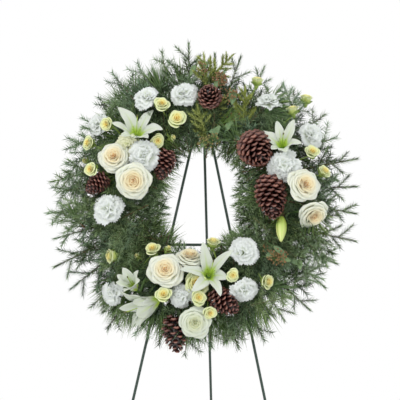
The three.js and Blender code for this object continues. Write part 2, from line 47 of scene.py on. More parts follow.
# the wreath's own axes: right, up along the leaning ring, and out towards the viewer
wreath = {"lean": 9.0, "ringRadius": 0.220, "trayDepth": 0.020, "footWidth": 0.036, "footLift": 0.052}
lean = math.radians(wreath["lean"])
axes = np.array([[1, 0, 0], [0, math.sin(lean), math.cos(lean)], [0, -math.cos(lean), math.sin(lean)]])
trayLow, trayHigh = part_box("ring_tray")
ringCentre = (np.array(trayLow) + np.array(trayHigh)) / 2 - axes[2] * wreath["trayDepth"] / 2


def toWorld(points):
    # ring centre + right, up and out parts of each point
    return ringCentre + np.asarray(points) @ axes


def ringPoint(angle, distance, lift):
    # clock angle in degrees, distance from the ring's centre and lift in front of the tray, in metres
    a = np.radians(np.asarray(angle, float))
    return np.stack([distance * np.cos(a), distance * np.sin(a), lift + 0 * a], -1)


def unitOf(vectors):
    vectors = np.asarray(vectors, float)
    return vectors / np.maximum(np.linalg.norm(vectors, axis=-1, keepdims=True), 1e-12)


def framesFor(lead, plane=(0.0, 0.0, 1.0)):
    # columns are the lead direction, the direction across it, and the plane's normal made square to the lead
    lead = unitOf(lead)
    across = np.cross(np.broadcast_to(plane, lead.shape), lead)
    weak = np.linalg.norm(across, axis=-1, keepdims=True) < 1e-3
    across = unitOf(np.where(weak, np.cross(np.broadcast_to([0.3, 1.0, 0.1], lead.shape), lead), across))
    return np.stack([lead, across, np.cross(lead, across)], -1)


def solidPoints(node):
    # the node's corners in the ring's own axes, each once, and its triangles as numbers of those corners
    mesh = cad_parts[node].data
    mesh.calc_loop_triangles()
    corners = np.empty(len(mesh.loop_triangles) * 3, np.int32)
    mesh.loop_triangles.foreach_get("vertices", corners)
    places = np.empty(len(mesh.vertices) * 3)
    mesh.vertices.foreach_get("co", places)
    local = (places.reshape(-1, 3) - ringCentre) @ axes.T
    points, same = np.unique(np.round(local, 5), axis=0, return_inverse=True)
    return points, same.ravel()[corners].reshape(-1, 3)


def headsOf(node, count=1):
    # the node without its stem's foot in the foam falls into heads: corners joined by triangles share a
    # label, the least number among them; where heads touch, the largest is cut into equal stretches along
    # its widest side; the heads are given by clock angle
    points, triangles = solidPoints(node)
    fromRing = np.abs(np.hypot(points[:, 0], points[:, 1]) - wreath["ringRadius"])
    foot = (fromRing < wreath["footWidth"]) & (points[:, 2] < wreath["footLift"])
    triangles = triangles[~foot[triangles].any(axis=1)]
    label, settled = np.arange(len(points)), False
    while not settled:
        least = label[triangles].min(axis=1)
        spread = label.copy()
        np.minimum.at(spread, triangles, np.repeat(least[:, None], 3, axis=1))
        settled = bool((spread == label).all())
        label = spread
    used = np.unique(triangles)
    heads = sorted((points[used[label[used] == one]] for one in np.unique(label[used])), key=widest)[-count:]
    if len(heads) < count:
        last = heads.pop()
        side = int(np.ptp(last, axis=0).argmax())
        edges = np.linspace(last[:, side].min(), last[:, side].max(), count - len(heads) + 1)
        cuts = zip(edges[:-1], edges[1:])
        heads += [last[(last[:, side] >= low - 1e-6) & (last[:, side] <= high + 1e-6)] for low, high in cuts]
    found = [{"middle": (head.min(0) + head.max(0)) / 2, "size": widest(head), "points": head}
             for head in heads]
    return sorted(found, key=lambda head: clockAngle(head["middle"]))


def widest(points):
    return float(np.ptp(points, axis=0).max())


def clockAngle(points):
    return np.degrees(np.arctan2(np.asarray(points)[..., 1], np.asarray(points)[..., 0]))


class Pile:
    # gathers points and faces of one piece; each point has a place along and across, and a shade
    def __init__(self):
        self.points, self.faces, self.uv, self.shade, self.finish = [], [], [], [], []
        self.count = 0

    def add(self, points, faceGroups, uv, shade, finish=0):
        points = np.asarray(points).reshape(-1, 3)
        self.points.append(points)
        self.uv.append(np.asarray(uv).reshape(-1, 2))
        self.shade.append(np.broadcast_to(np.asarray(shade, float).reshape(-1), (len(points),)))
        for group in faceGroups:
            self.faces.append(group + self.count)
            self.finish.append(np.full(len(group), finish))
        self.count += len(points)

    def build(self, name, finishes, nodes=(), body="easel_front"):
        mesh = bpy.data.meshes.new(name)
        loops = np.concatenate([group.ravel() for group in self.faces]).astype(np.int32)
        corners = np.concatenate([np.full(len(group), group.shape[1]) for group in self.faces])
        starts = np.concatenate([[0], np.cumsum(corners)[:-1]]).astype(np.int32)
        mesh.vertices.add(self.count)
        mesh.vertices.foreach_set("co", toWorld(np.concatenate(self.points)).ravel())
        mesh.loops.add(len(loops))
        mesh.loops.foreach_set("vertex_index", loops)
        mesh.polygons.add(len(starts))
        mesh.polygons.foreach_set("loop_start", starts)
        mesh.polygons.foreach_set("material_index", np.concatenate(self.finish).astype(np.int32))
        mesh.polygons.foreach_set("use_smooth", np.ones(len(starts), bool))
        mesh.uv_layers.new(name="along").data.foreach_set("uv", np.concatenate(self.uv)[loops].ravel())
        shade = mesh.attributes.new("shade", "FLOAT", "POINT")
        shade.data.foreach_set("value", np.concatenate(self.shade).astype(np.float32))
        mesh.update(calc_edges=True)
        for finish in finishes:
            mesh.materials.append(finish)
        piece = bpy.data.objects.new(name, mesh)
        bpy.context.collection.objects.link(piece)
        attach(piece, body)
        if nodes:
            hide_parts(*nodes)
        return piece


def copiesOf(faces, perCopy, copies):
    # the same faces for each copy, numbered on by the points of the copies before it
    return (faces[None] + (np.arange(copies) * perCopy)[:, None, None]).reshape(-1, faces.shape[1])


def addShells(pile, middle, thickness, shade, finish=0):
    # closed skins: each surface (copies, rows, columns) moved half its thickness both ways along its normal,
    # with quads round the rim
    copies, rows, columns = middle.shape[:3]
    normal = unitOf(np.cross(np.gradient(middle, axis=1), np.gradient(middle, axis=2)))
    half = np.broadcast_to(np.asarray(thickness, float), (copies, rows, columns))[..., None] / 2
    points = np.stack([middle + normal * half, middle - normal * half], 1)
    grid = np.arange(rows * columns).reshape(rows, columns)
    upper = np.stack([grid[:-1, :-1], grid[1:, :-1], grid[1:, 1:], grid[:-1, 1:]], -1).reshape(-1, 4)
    lower = upper[:, ::-1] + rows * columns
    rim = np.concatenate([grid[:-1, 0], grid[-1, :-1], grid[:0:-1, -1], grid[0, :0:-1]])
    following = np.roll(rim, -1)
    side = np.stack([following, rim, rim + rows * columns, following + rows * columns], -1)
    quads = np.concatenate([upper, lower, side])
    along, across = np.meshgrid(np.linspace(0, 1, rows), np.linspace(0, 1, columns), indexing="ij")
    uv = np.broadcast_to(np.stack([along, across], -1), (copies, 2, rows, columns, 2))
    shades = np.broadcast_to(np.reshape(shade, (-1, 1, 1, 1)), (copies, 2, rows, columns))
    pile.add(points, [copiesOf(quads, 2 * rows * columns, copies)], uv, shades, finish)


def tubeFaces(rings, sides):
    # quads between rings, and a fan to a pole point at each end
    ring = np.arange(rings * sides).reshape(rings, sides)
    onward = np.roll(ring, -1, axis=1)
    quads = np.stack([ring[:-1], onward[:-1], onward[1:], ring[1:]], -1).reshape(-1, 4)
    startPole, endPole = rings * sides, rings * sides + 1
    start = np.stack([np.full(sides, startPole), onward[0], ring[0]], -1)
    end = np.stack([np.full(sides, endPole), ring[-1], onward[-1]], -1)
    return quads, np.concatenate([start, end])


def addTubes(pile, paths, radii, sides, shade, finish=0, uvReach=1.0):
    # rings of points across each path (copies, stations), closed by a pole at each end
    copies, stations = paths.shape[:2]
    tangent = unitOf(np.gradient(paths, axis=1))
    first = unitOf(np.cross(tangent, [0.31, 0.52, 0.79]))
    second = np.cross(tangent, first)
    turn = np.linspace(0, 2 * np.pi, sides, endpoint=False)
    spread = first[:, :, None] * np.cos(turn)[:, None] + second[:, :, None] * np.sin(turn)[:, None]
    radii = np.broadcast_to(np.asarray(radii, float), (copies, stations))
    rings = (paths[:, :, None] + spread * radii[..., None, None]).reshape(copies, -1, 3)
    points = np.concatenate([rings, paths[:, :1], paths[:, -1:]], 1)
    quads, fans = tubeFaces(stations, sides)
    along = np.concatenate([np.repeat(np.linspace(0, 1, stations), sides), [0, 1]]) * uvReach
    around = np.concatenate([np.tile(turn / (2 * np.pi), stations), [0, 0]])
    uv = np.broadcast_to(np.stack([along, around], -1), (copies, len(along), 2))
    shades = np.broadcast_to(np.reshape(shade, (-1, 1)), (copies, len(along)))
    size = points.shape[1]
    pile.add(points, [copiesOf(quads, size, copies), copiesOf(fans, size, copies)], uv, shades, finish)


def spike(sides=3):
    # unit needle: a triangle at its foot and a point at its tip
    turn = np.linspace(0, 2 * np.pi, sides, endpoint=False)
    foot = np.stack([np.zeros(sides), np.cos(turn) / 2, np.sin(turn) / 2], -1)
    edge = np.arange(sides)
    walls = np.stack([edge, np.roll(edge, -1), np.full(sides, sides)], -1)
    return {"points": np.concatenate([foot, [[1.0, 0, 0]]]), "faces": [np.concatenate([[[2, 1, 0]], walls])]}


def spindle(stations, radii, sides):
    # unit body along its first axis, pointed at both ends, with a ring at each station
    turn = np.linspace(0, 2 * np.pi, sides, endpoint=False)
    stations, radii = np.array(stations, float), np.array(radii, float)
    ring = np.stack([np.zeros(sides), np.cos(turn), np.sin(turn)], -1)
    rings = ring[None] * radii[:, None, None] + stations[:, None, None] * [1.0, 0.0, 0.0]
    points = np.concatenate([rings.reshape(-1, 3), [[0, 0, 0], [1, 0, 0]]])
    return {"points": points, "faces": tubeFaces(len(stations), sides)}


def addStamps(pile, unit, origins, frames, sizes, shade, droop=None, finish=0, tone=0.0):
    # origin + frame * (size * unit point), plus the droop in proportion to the square of the way along
    points = np.einsum("kij,knj->kni", frames, sizes[:, None, :] * unit["points"][None])
    points = points + origins[:, None, :]
    along = unit["points"][:, 0]
    if droop is not None:
        points = points + droop[:, None, :] * (along ** 2)[None, :, None]
    copies, size = points.shape[:2]
    shade = np.broadcast_to(np.reshape(shade, (-1, 1)), (copies, size))
    tone = np.broadcast_to(np.reshape(tone, (-1, 1)), (copies, size))
    uv = np.stack([np.broadcast_to(along, (copies, size)), tone], -1)
    faces = [copiesOf(group, size, copies) for group in unit["faces"]]
    pile.add(points, faces, uv, shade, finish)


class Link:
    # wraps a number socket, so that arithmetic on it adds Math nodes
    def __init__(self, finish, socket):
        self.finish, self.socket = finish, socket

    def combine(self, operation, first, second):
        return self.finish.node("ShaderNodeMath", {"operation": operation}, {0: first, 1: second})

    def __add__(self, other):
        return self.combine("ADD", self, other)

    __radd__ = __add__

    def __sub__(self, other):
        return self.combine("SUBTRACT", self, other)

    def __rsub__(self, other):
        return self.combine("SUBTRACT", other, self)

    def __mul__(self, other):
        return self.combine("MULTIPLY", self, other)

    __rmul__ = __mul__

    def through(self, operation):
        return self.finish.node("ShaderNodeMath", {"operation": operation}, {0: self})


class Finish:
    # one material: a Principled shader, with nodes added by type, settings and socket values
    def __init__(self, name, **fixed):
        self.material = bpy.data.materials.new(name)
        self.material.use_nodes = True
        self.tree = self.material.node_tree
        self.shader = self.tree.nodes["Principled BSDF"]
        self.fix(**fixed)

    def fix(self, **fixed):
        for socket, value in fixed.items():
            self.shader.inputs[socket.replace("_", " ")].default_value = value

    def node(self, kind, settings, sockets, output=0):
        made = self.tree.nodes.new(kind)
        for key, value in settings.items():
            if key == "stops":
                ramp = made.color_ramp
                for place, colour in value[1:-1]:
                    ramp.elements.new(place)
                for element, (place, colour) in zip(ramp.elements, value):
                    element.position = place
                    element.color = (*colour, 1.0)
            else:
                setattr(made, key, value)
        for key, value in sockets.items():
            if isinstance(value, Link):
                self.tree.links.new(value.socket, made.inputs[key])
            else:
                made.inputs[key].default_value = value
        return Link(self, made.outputs[output])

    def feed(self, socket, link):
        self.tree.links.new(link.socket, self.shader.inputs[socket])

    def place(self):
        return self.node("ShaderNodeTexCoord", {}, {}, "Object")

    def along(self):
        # the way along the piece's own surface, and the way across it
        uv = self.node("ShaderNodeUVMap", {"uv_map": "along"}, {})
        split = self.node("ShaderNodeSeparateXYZ", {}, {0: uv})
        return split, Link(self, split.socket.node.outputs[1])

    def shade(self):
        return self.node("ShaderNodeAttribute", {"attribute_name": "shade"}, {}, "Fac")

    def noise(self, scale, detail=2.0, vector=None):
        vector = vector or self.place()
        return self.node("ShaderNodeTexNoise", {}, {"Vector": vector, "Scale": scale, "Detail": detail}, 0)

    def ramp(self, factor, stops):
        return self.node("ShaderNodeValToRGB", {"stops": stops}, {0: factor})

    def mix(self, factor, first, second):
        colour = [c if isinstance(c, Link) else (*c, 1.0) for c in (first, second)]
        return self.node("ShaderNodeMix", {"data_type": "RGBA"}, {0: factor, 6: colour[0], 7: colour[1]}, 2)

    def band(self, value, low, high):
        # smooth step from 0 at low to 1 at high
        settings = {"interpolation_type": "SMOOTHSTEP"}
        return self.node("ShaderNodeMapRange", settings, {0: value, 1: low, 2: high, 3: 0.0, 4: 1.0})

    def bump(self, height, strength, distance):
        sockets = {"Strength": strength, "Distance": distance, "Height": height}
        self.feed("Normal", self.node("ShaderNodeBump", {}, sockets))


def barkFinish():
    finish = Finish("twig_bark", Roughness=0.8)
    grain = finish.noise(300.0, 4.0)
    finish.feed("Base Color", finish.ramp(grain, [
        (0.2, (0.07, 0.032, 0.015)), (0.6, (0.16, 0.08, 0.04)), (0.9, (0.26, 0.16, 0.09))]))
    finish.feed("Roughness", grain * 0.3 + 0.6)
    finish.bump(grain, 0.6, 0.001)
    return finish.material


barkMaterial = barkFinish()


def stemFinish(name, dark, light):
    finish = Finish(name, Roughness=0.5)
    grain = finish.noise(160.0, 3.0)
    finish.feed("Base Color", finish.mix(finish.shade() * 0.5 + grain * 0.5, dark, light))
    finish.feed("Roughness", grain * 0.2 + 0.4)
    finish.bump(grain, 0.3, 0.0005)
    return finish.material


stemMaterial = stemFinish("green_stem", (0.05, 0.12, 0.03), (0.16, 0.28, 0.08))

# blooms: every one is built in its own frame (across, upward, facing) and then set on the ring
crowd = []        # right, up, radius and closed radius of each bloom, so that the greens keep behind them


def bloomFrame(direction, turn=0.0):
    # columns are two directions across the bloom and the way it faces, turned about that way
    direction = unitOf(direction)
    upward = unitOf(np.array([0, 1.0, 0]) - direction * direction[1])
    across = np.cross(upward, direction)
    c, s = math.cos(math.radians(turn)), math.sin(math.radians(turn))
    return np.stack([across * c + upward * s, upward * c - across * s, direction], -1)


def keepClear(at, radius, solid=0.7):
    crowd.append((at[0], at[1], radius, radius * solid))


def tipped(angle, tilt):
    # a direction tipped off the viewer's way by the tilt, towards a clock angle
    a, t = math.radians(angle), math.radians(tilt)
    return np.array([math.cos(a) * math.sin(t), math.sin(a) * math.sin(t), math.cos(t)])


def smooth(value, low, high):
    t = np.clip((value - low) / (high - low), 0, 1)
    return t * t * (3 - 2 * t)


def blend(low, high, t):
    return low + (high - low) * t


def petalGrid(rows, columns):
    # u runs from a petal's foot to its rim, v across it from -1 to 1
    return np.linspace(0, 1, rows)[None, :, None], np.linspace(-1, 1, columns)[None, None, :]


def addRose(pile, origin, holder, size, look):
    # petals at the golden angle; each follows a curve of radius and height from the heart to its rim,
    # curls outwards at the rim, and tucks one side under its neighbour
    count = look["petals"]
    u, v = petalGrid(look["rows"], look["columns"])
    t = (np.arange(count) / (count - 1))[:, None, None]
    radius = size / 2
    jitter = rng.uniform(-1, 1, (count, 4))[:, :, None, None]
    reach = u * (1 - 0.26 * np.abs(v) ** 2.6)
    flat = smooth(t, 0.12, 0.75)
    rim = radius * (0.012 + 0.968 * t ** 0.80) * (1 + 0.08 * jitter[:, 0] * np.sqrt(t))
    dome = 0.05 * np.sin(np.pi * np.minimum(t * 1.6, 1)) - look["fall"] * t ** 2.2
    top = radius * (dome + 0.02 * jitter[:, 1])
    foot, depth = radius * (0.008 + 0.12 * t), -radius * blend(0.24, look["depth"], t)
    b0, b1 = (1 - reach) ** 3, 3 * reach * (1 - reach) ** 2
    b2, b3 = 3 * reach ** 2 * (1 - reach), reach ** 3
    r = foot * b0 + blend(rim * 0.8, rim - 0.30 * radius, flat) * b1
    r = r + (rim - radius * blend(0.02, 0.15, flat)) * b2
    r = r + rim * b3
    z = depth * b0 + depth * 0.9 * b1 + (top - radius * blend(0.12, 0.05, flat)) * b2 + top * b3
    roll = smooth(reach, 0.7, 1.0) * (0.3 + 0.7 * t)
    pinch = np.abs(v) ** 1.5
    r = r + radius * look["roll"] * roll * (0.27 + 0.33 * pinch + 0.45 * t * (1 - np.abs(v)) ** 3)
    z = z - radius * look["roll"] * roll ** 2 * (0.25 + 0.75 * pinch) * (0.4 + t)
    wave = np.sin(v * 3.1 + 6 * jitter[:, 2]) * reach ** 3 * (0.2 + t)
    r = r * (1 + look["tuck"] * v) + radius * 0.045 * wave
    half = np.radians(blend(look["innerHalf"], look["outerHalf"], t)) * (0.55 + 0.45 * smooth(u, 0.0, 0.55))
    turn = np.radians(np.arange(count) * 137.5)[:, None, None] + 0.22 * jitter[:, 3] + v * half
    local = np.stack([r * np.cos(turn), r * np.sin(turn), z + 0 * turn], -1)
    addShells(pile, origin + local @ holder.T, 0.0005, t.ravel())


def addStem(pile, start, end, width, finish):
    # a slightly bowed stem from the bloom's foot to the foam
    t = np.linspace(0, 1, 8)[:, None]
    path = blend(np.asarray(start), np.asarray(end), t) + np.array([0, 0, 0.006]) * np.sin(np.pi * t)
    addTubes(pile, path[None], width / 2, 8, 0.5, finish)


def rootUnder(origin, depth=0.034):
    # where a stem enters the foam: the nearest place on the ring, just under its face
    flat = math.hypot(origin[0], origin[1])
    return np.array([origin[0] / flat * wreath["ringRadius"], origin[1] / flat * wreath["ringRadius"], depth])


roseLook = {"petals": 36, "rows": 10, "columns": 9, "fall": 0.50, "depth": 0.85, "roll": 0.28,
            "tuck": 0.05, "innerHalf": 84, "outerHalf": 50}
sprayLook = {**roseLook, "petals": 18, "rows": 7, "columns": 7, "fall": 0.42, "depth": 0.95, "roll": 0.24,
             "innerHalf": 92, "outerHalf": 54}


def roseFinish(name, innerFootShaded, outerFootShaded, rimInner, rimOuter, fold):
    # the heart's colour inside gives way to the outer petals' colour; the foot of each petal is deeper,
    # partly its own colour and partly painted shade
    finish = Finish(name, Roughness=0.5, Subsurface_Weight=0.2, Subsurface_Scale=0.003)
    finish.fix(Subsurface_Radius=(1.0, 0.8, 0.5), Sheen_Weight=0.15)
    along, across = finish.along()
    rank = finish.band(finish.shade(), 0.15, 0.8)
    foot = finish.mix(rank, innerFootShaded, outerFootShaded)
    rim = finish.mix(rank, rimInner, rimOuter)
    # painted shade: the lower part of each petal, deep in the crevice between petals, takes the darker foot
    # colour
    body = finish.mix(finish.band(along + finish.noise(60.0) * 0.16, 0.62, 1.0), foot, rim)
    wave = (across * 70.0 + finish.noise(150.0) * 3.0).through("SINE")
    body = finish.mix((wave * 0.5 + 0.5) * 0.1, body, fold)
    finish.feed("Base Color", finish.mix(finish.band(finish.noise(38.0, 3.0), 0.5, 0.8) * 0.18, body, fold))
    finish.feed("Roughness", finish.noise(200.0) * 0.2 + 0.4)
    finish.bump(wave * 0.2 + finish.noise(140.0, 4.0), 0.25, 0.0004)
    return finish.material


# the foot colours, inner and outer, are the petals' own yellow-green base darkened as painted shade of the
# crevices
ivoryFinish = roseFinish("ivory_rose", (0.86, 0.50, 0.17), (0.56, 0.57, 0.33), (0.94, 0.82, 0.52),
                         (0.79, 0.82, 0.69), (0.80, 0.74, 0.49))
paleFinish = roseFinish("pale_rose", (0.52, 0.58, 0.22), (0.46, 0.52, 0.30), (0.74, 0.78, 0.54),
                        (0.72, 0.77, 0.64), (0.66, 0.71, 0.48))
sprayFinish = roseFinish("spray_rose", (0.90, 0.60, 0.08), (0.54, 0.62, 0.18), (0.94, 0.86, 0.34),
                         (0.80, 0.86, 0.50), (0.66, 0.77, 0.27))
sepalFinish = stemFinish("sepal_green", (0.16, 0.26, 0.04), (0.34, 0.46, 0.10))

# each rose's roll, and the heading and tilt of the way it faces; place and size are its CAD solid's
roses = {
    "left_upper": {"turn": 20, "to": (110, 14), "petals": ivoryFinish},
    "left_lower": {"turn": 75, "to": (-80, 10), "petals": ivoryFinish},
    "right_upper": {"turn": 10, "to": (10, 28), "petals": ivoryFinish},
    "right_lower": {"turn": 40, "to": (-60, 50), "petals": ivoryFinish},
    "bottom_large": {"turn": 200, "to": (80, 8), "petals": ivoryFinish},
    "bottom_back": {"turn": 130, "to": (80, 50), "petals": ivoryFinish},
    "bottom_low": {"turn": 300, "to": (-60, 14), "petals": paleFinish},
}
roseFit = {"size": 1.06, "forward": 0.28, "neck": 0.40}        # against the CAD head's size
for name, rose in roses.items():
    pile = Pile()
    head = headsOf(f"rose_{name}")[0]
    at, size = head["middle"], head["size"] * roseFit["size"]
    way = tipped(*rose["to"])
    keepClear(at, size * 0.5)
    top = at + way * size * roseFit["forward"]
    addRose(pile, top, bloomFrame(way, rose["turn"]), size, roseLook)
    addStem(pile, top - way * size * roseFit["neck"], rootUnder(at), 0.006, 1)
    pile.build(f"rose_{name}_bloom", [rose["petals"], stemMaterial], [f"rose_{name}"])
print("roses made")


def addSepals(pile, origin, holder, length, finish):
    # five broad green leaves that hug the bloom's foot and spread at their tips, over a swollen cup
    u, v = petalGrid(8, 5)
    jitter = rng.uniform(-1, 1, (2, 5, 1, 1))
    turn = np.radians(np.arange(5) * 72.0 + 17)[:, None, None]
    width = length * 0.27 * np.sin(np.pi * (0.12 + 0.86 * u) ** 0.8) ** 0.9 + 0.0004
    r = length * (0.20 + 0.62 * np.sin(u * 1.5) ** 0.8 * (0.75 + 0.2 * jitter[0]))
    r = r - 0.2 * length * (1 - u) ** 3
    z = length * (0.62 * u - (0.30 + 0.22 * jitter[1]) * u ** 3) + 0.10 * length * v ** 2 * u
    side = v * width
    local = np.stack([r * np.cos(turn) - side * np.sin(turn), r * np.sin(turn) + side * np.cos(turn),
                      z + 0 * v], -1)
    addShells(pile, origin + local @ holder.T, 0.0007, rng.uniform(0, 1, 5), finish)
    path = np.array([[0, 0, -0.34], [0, 0, -0.22], [0, 0, -0.08], [0, 0, 0.04], [0, 0, 0.16]]) * length
    radii = np.array([0.08, 0.17, 0.24, 0.24, 0.16]) * length
    addTubes(pile, (origin + path @ holder.T)[None], radii, 10, 0.6, finish)


# heading and tilt of the way each spray rose faces, by clock angle; a head under the bud size is a bud
sprays = {
    "left": [(200, 30), (170, 40), (180, 60), (190, 24)],
    "top": [(40, 10), (60, 26), (20, 70), (-60, 22)],
    "right_top": [(100, 70), (80, 72), (80, 72)],
    "right": [(40, 50), (60, 30)],
    "low_left": [(190, 60), (150, 60), (100, 34), (60, 70)],
    "bottom": [(90, 18), (20, 16), (-10, 12), (-30, 30)],
    "bottom_right": [(80, 58), (-20, 12), (-10, 48)],
}
budSize = 0.026
sprayFit = 1.14        # bloom against the CAD head's size
for name, ways in sprays.items():
    pile = Pile()
    for head, (heading, tilt) in zip(headsOf(f"spray_roses_{name}", len(ways)), ways):
        at, size = head["middle"], head["size"] * sprayFit
        way = tipped(heading, tilt)
        keepClear(at, size * 0.5)
        holder = bloomFrame(way, rng.uniform(0, 360))
        if head["size"] < budSize:
            bud = {**sprayLook, "petals": 9, "fall": 0.7, "depth": 1.5, "roll": 0.05}
            addRose(pile, at + way * size * 0.4, holder, size * 0.72, bud)
        else:
            side = tilt / 70
            look = {**sprayLook, "fall": blend(0.42, 0.16, side), "depth": blend(0.95, 1.5, side)}
            addRose(pile, at + way * size * 0.3, holder, size * blend(1.0, 0.86, side), look)
        addSepals(pile, at - way * size * 0.3, holder, size * 0.62, 1)
        addStem(pile, at - way * size * 0.3, rootUnder(at), 0.003, 1)
    pile.build(f"spray_{name}", [sprayFinish, sepalFinish], [f"spray_roses_{name}"])
print("spray roses made")

carnationLook = {"petals": 30, "rows": 6, "teeth": 8}


def addCarnation(pile, origin, holder, size, look):
    # fan petals on claws; short inner ones stand up and long outer ones lie flat, each with a toothed,
    # ruffled edge
    count = look["petals"]
    columns = 2 * look["teeth"] + 1
    u, v = petalGrid(look["rows"], columns)
    t = (np.arange(count) / (count - 1))[:, None, None]
    jitter = rng.uniform(-1, 1, (count, 6))[:, :, None, None]
    length = size / 2 * blend(0.62, 1.16, t ** 0.7) * (1 + 0.13 * jitter[:, 0])
    tooth = np.where(np.arange(columns) % 2 == 1, 1.0, 0.0)[None, None, :]
    notch = 0.075 * (1 - tooth) * smooth(u, 0.66, 1.0)
    reach = u * (1 - 0.12 * v ** 4 - notch - 0.06 * np.sin(v * 4.5 + jitter[:, 2]) ** 2)
    stand = np.radians(blend(8, 92, t ** 0.8) + 17 * jitter[:, 1] - blend(30, 48, t) * (1 - reach))
    fan = np.radians(blend(48, 33, t)) * smooth(u, 0.10, 0.6) + 0.07
    spread = v * fan
    out = length * reach
    depth = size * blend(0.085, 0.050, t) * smooth(u, 0.3, 1.0)
    wide, fine = np.sin(v * blend(5.0, 3.4, t) + 6 * jitter[:, 2]), np.sin(v * 7 + 6 * jitter[:, 3])
    ruffle = depth * (wide + 0.3 * fine)
    curl = smooth(u, 0.6, 1.0) * size * 0.045 * (jitter[:, 4] + 0.5 * t)
    forward = out * np.cos(spread)
    r = forward * np.sin(stand) + (ruffle - curl) * np.cos(stand)
    z = forward * np.cos(stand) - (ruffle - curl) * np.sin(stand)
    side = out * np.sin(spread)
    turn = np.radians(np.arange(count) * 137.5)[:, None, None] + 0.25 * jitter[:, 5]
    local = np.stack([r * np.cos(turn) - side * np.sin(turn), r * np.sin(turn) + side * np.cos(turn),
                      z * 0.85 - size * 0.26], -1)
    addShells(pile, origin + local @ holder.T, 0.0004, t.ravel())
    path = np.array([[0, 0, -0.72], [0, 0, -0.62], [0, 0, -0.45], [0, 0, -0.33]]) * size
    radii = np.array([0.05, 0.12, 0.13, 0.14]) * size
    addTubes(pile, (origin + path @ holder.T)[None], radii, 10, 0.5, 1)


def carnationFinish(name, foot, rim, fold):
    finish = Finish(name, Roughness=0.6, Subsurface_Weight=0.25, Subsurface_Scale=0.003)
    finish.fix(Subsurface_Radius=(1.0, 0.95, 0.8), Sheen_Weight=0.2)
    along, across = finish.along()
    body = finish.mix(finish.band(along, 0.3, 0.9), foot, rim)
    wave = (across * 80.0 + finish.noise(200.0) * 2.0).through("SINE")
    body = finish.mix((wave * 0.5 + 0.5) * 0.12, body, fold)
    finish.feed("Base Color", finish.mix(finish.noise(50.0, 3.0) * 0.2, body, fold))
    finish.feed("Roughness", finish.noise(220.0) * 0.2 + 0.5)
    finish.bump(wave * 0.4 + finish.noise(160.0, 3.0), 0.3, 0.0004)
    return finish.material


carnationWhite = carnationFinish("white_carnation", (0.60, 0.68, 0.38), (0.80, 0.84, 0.81),
                                 (0.66, 0.72, 0.69))
carnationCream = carnationFinish("cream_carnation", (0.56, 0.62, 0.24), (0.88, 0.89, 0.62),
                                 (0.68, 0.72, 0.40))
# heading and tilt of the way each carnation faces
carnations = {
    "top_left": (100, 30), "top": (80, 24), "left_outer": (160, 40), "left_inner": (-30, 8),
    "left_low": (200, 12), "right_top": (80, 56), "right_outer": (20, 40), "right_middle": (-130, 10),
    "low_left": (196, 34), "bottom_right": (60, 14), "bottom_outer": (-70, 42),
}
carnationFit = {"size": 1.1, "forward": 0.2, "neck": 0.5}        # against the CAD head's size
for name, to in carnations.items():
    pile = Pile()
    head = headsOf(f"carnation_{name}")[0]
    at, way, size = head["middle"], tipped(*to), head["size"] * carnationFit["size"]
    keepClear(at, size * 0.5)
    middle = at + way * size * carnationFit["forward"]
    addCarnation(pile, middle, bloomFrame(way, rng.uniform(0, 360)), size, carnationLook)
    addStem(pile, at - way * size * carnationFit["neck"], rootUnder(at), 0.004, 1)
    pile.build(f"carnation_{name}_bloom", [carnationWhite, stemMaterial],
               [f"carnation_{name}"])
# two blooms more, each midway between two that the CAD holds: a cream one and a white one
extras = {"cream": ("lily_left", "rose_left_upper", 0.066, (150, 18), carnationCream),
          "lower_middle": ("rose_bottom_large", "rose_bottom_low", 0.056, (-120, 16), carnationWhite)}
for name, (first, second, size, to, petals) in extras.items():
    pile = Pile()
    at = (headsOf(first)[0]["middle"] + headsOf(second)[0]["middle"]) / 2
    way = tipped(*to)
    keepClear(at, size * 0.5)
    addCarnation(pile, at, bloomFrame(way, 30), size, carnationLook)
    addStem(pile, at - way * size * carnationFit["neck"], rootUnder(at), 0.004, 1)
    pile.build(f"carnation_{name}_bloom", [petals, stemMaterial])
print("carnations made")


def lilyFinish():
    # white, with a lime throat, a green rib down each petal, and fine lengthwise veins
    finish = Finish("lily_petal", Roughness=0.45, Subsurface_Weight=0.25, Subsurface_Scale=0.004)
    finish.fix(Subsurface_Radius=(0.9, 1.0, 0.6), Sheen_Weight=0.1)
    along, across = finish.along()
    fromRib = (across - 0.5).through("ABSOLUTE")
    white = finish.mix(finish.noise(45.0, 3.0) * 0.5, (0.66, 0.71, 0.62), (0.56, 0.62, 0.51))
    rib = (1 - finish.band(fromRib, 0.0, 0.14)) * (1 - finish.band(along, 0.3, 0.95)) * 0.55
    body = finish.mix(rib, white, (0.50, 0.66, 0.16))
    throat = 1 - finish.band(along + fromRib * 0.25, 0.20, 0.44)
    body = finish.mix(throat, body, (0.50, 0.72, 0.05))
    wave = (across * 95.0 + finish.noise(90.0) * 2.0).through("SINE")
    finish.feed("Base Color", finish.mix((wave * 0.5 + 0.5) * 0.12, body, (0.62, 0.70, 0.52)))
    finish.feed("Roughness", finish.noise(160.0) * 0.2 + 0.35)
    groove = (1 - finish.band(fromRib, 0.0, 0.1)) * 0.8
    finish.bump(wave * 0.4 + finish.noise(110.0, 3.0) * 0.6 - groove, 0.4, 0.0006)
    return finish.material


def stalkFinish():
    finish = Finish("lily_pistil", Roughness=0.4)
    along = finish.along()[0]
    stigma = finish.band(along, 0.9, 0.97)
    finish.feed("Base Color", finish.mix(stigma, (0.36, 0.52, 0.06), (0.12, 0.12, 0.03)))
    finish.feed("Roughness", finish.noise(300.0) * 0.2 + 0.3)
    return finish.material


lilyMaterials = [lilyFinish(), stalkFinish(), stemMaterial]


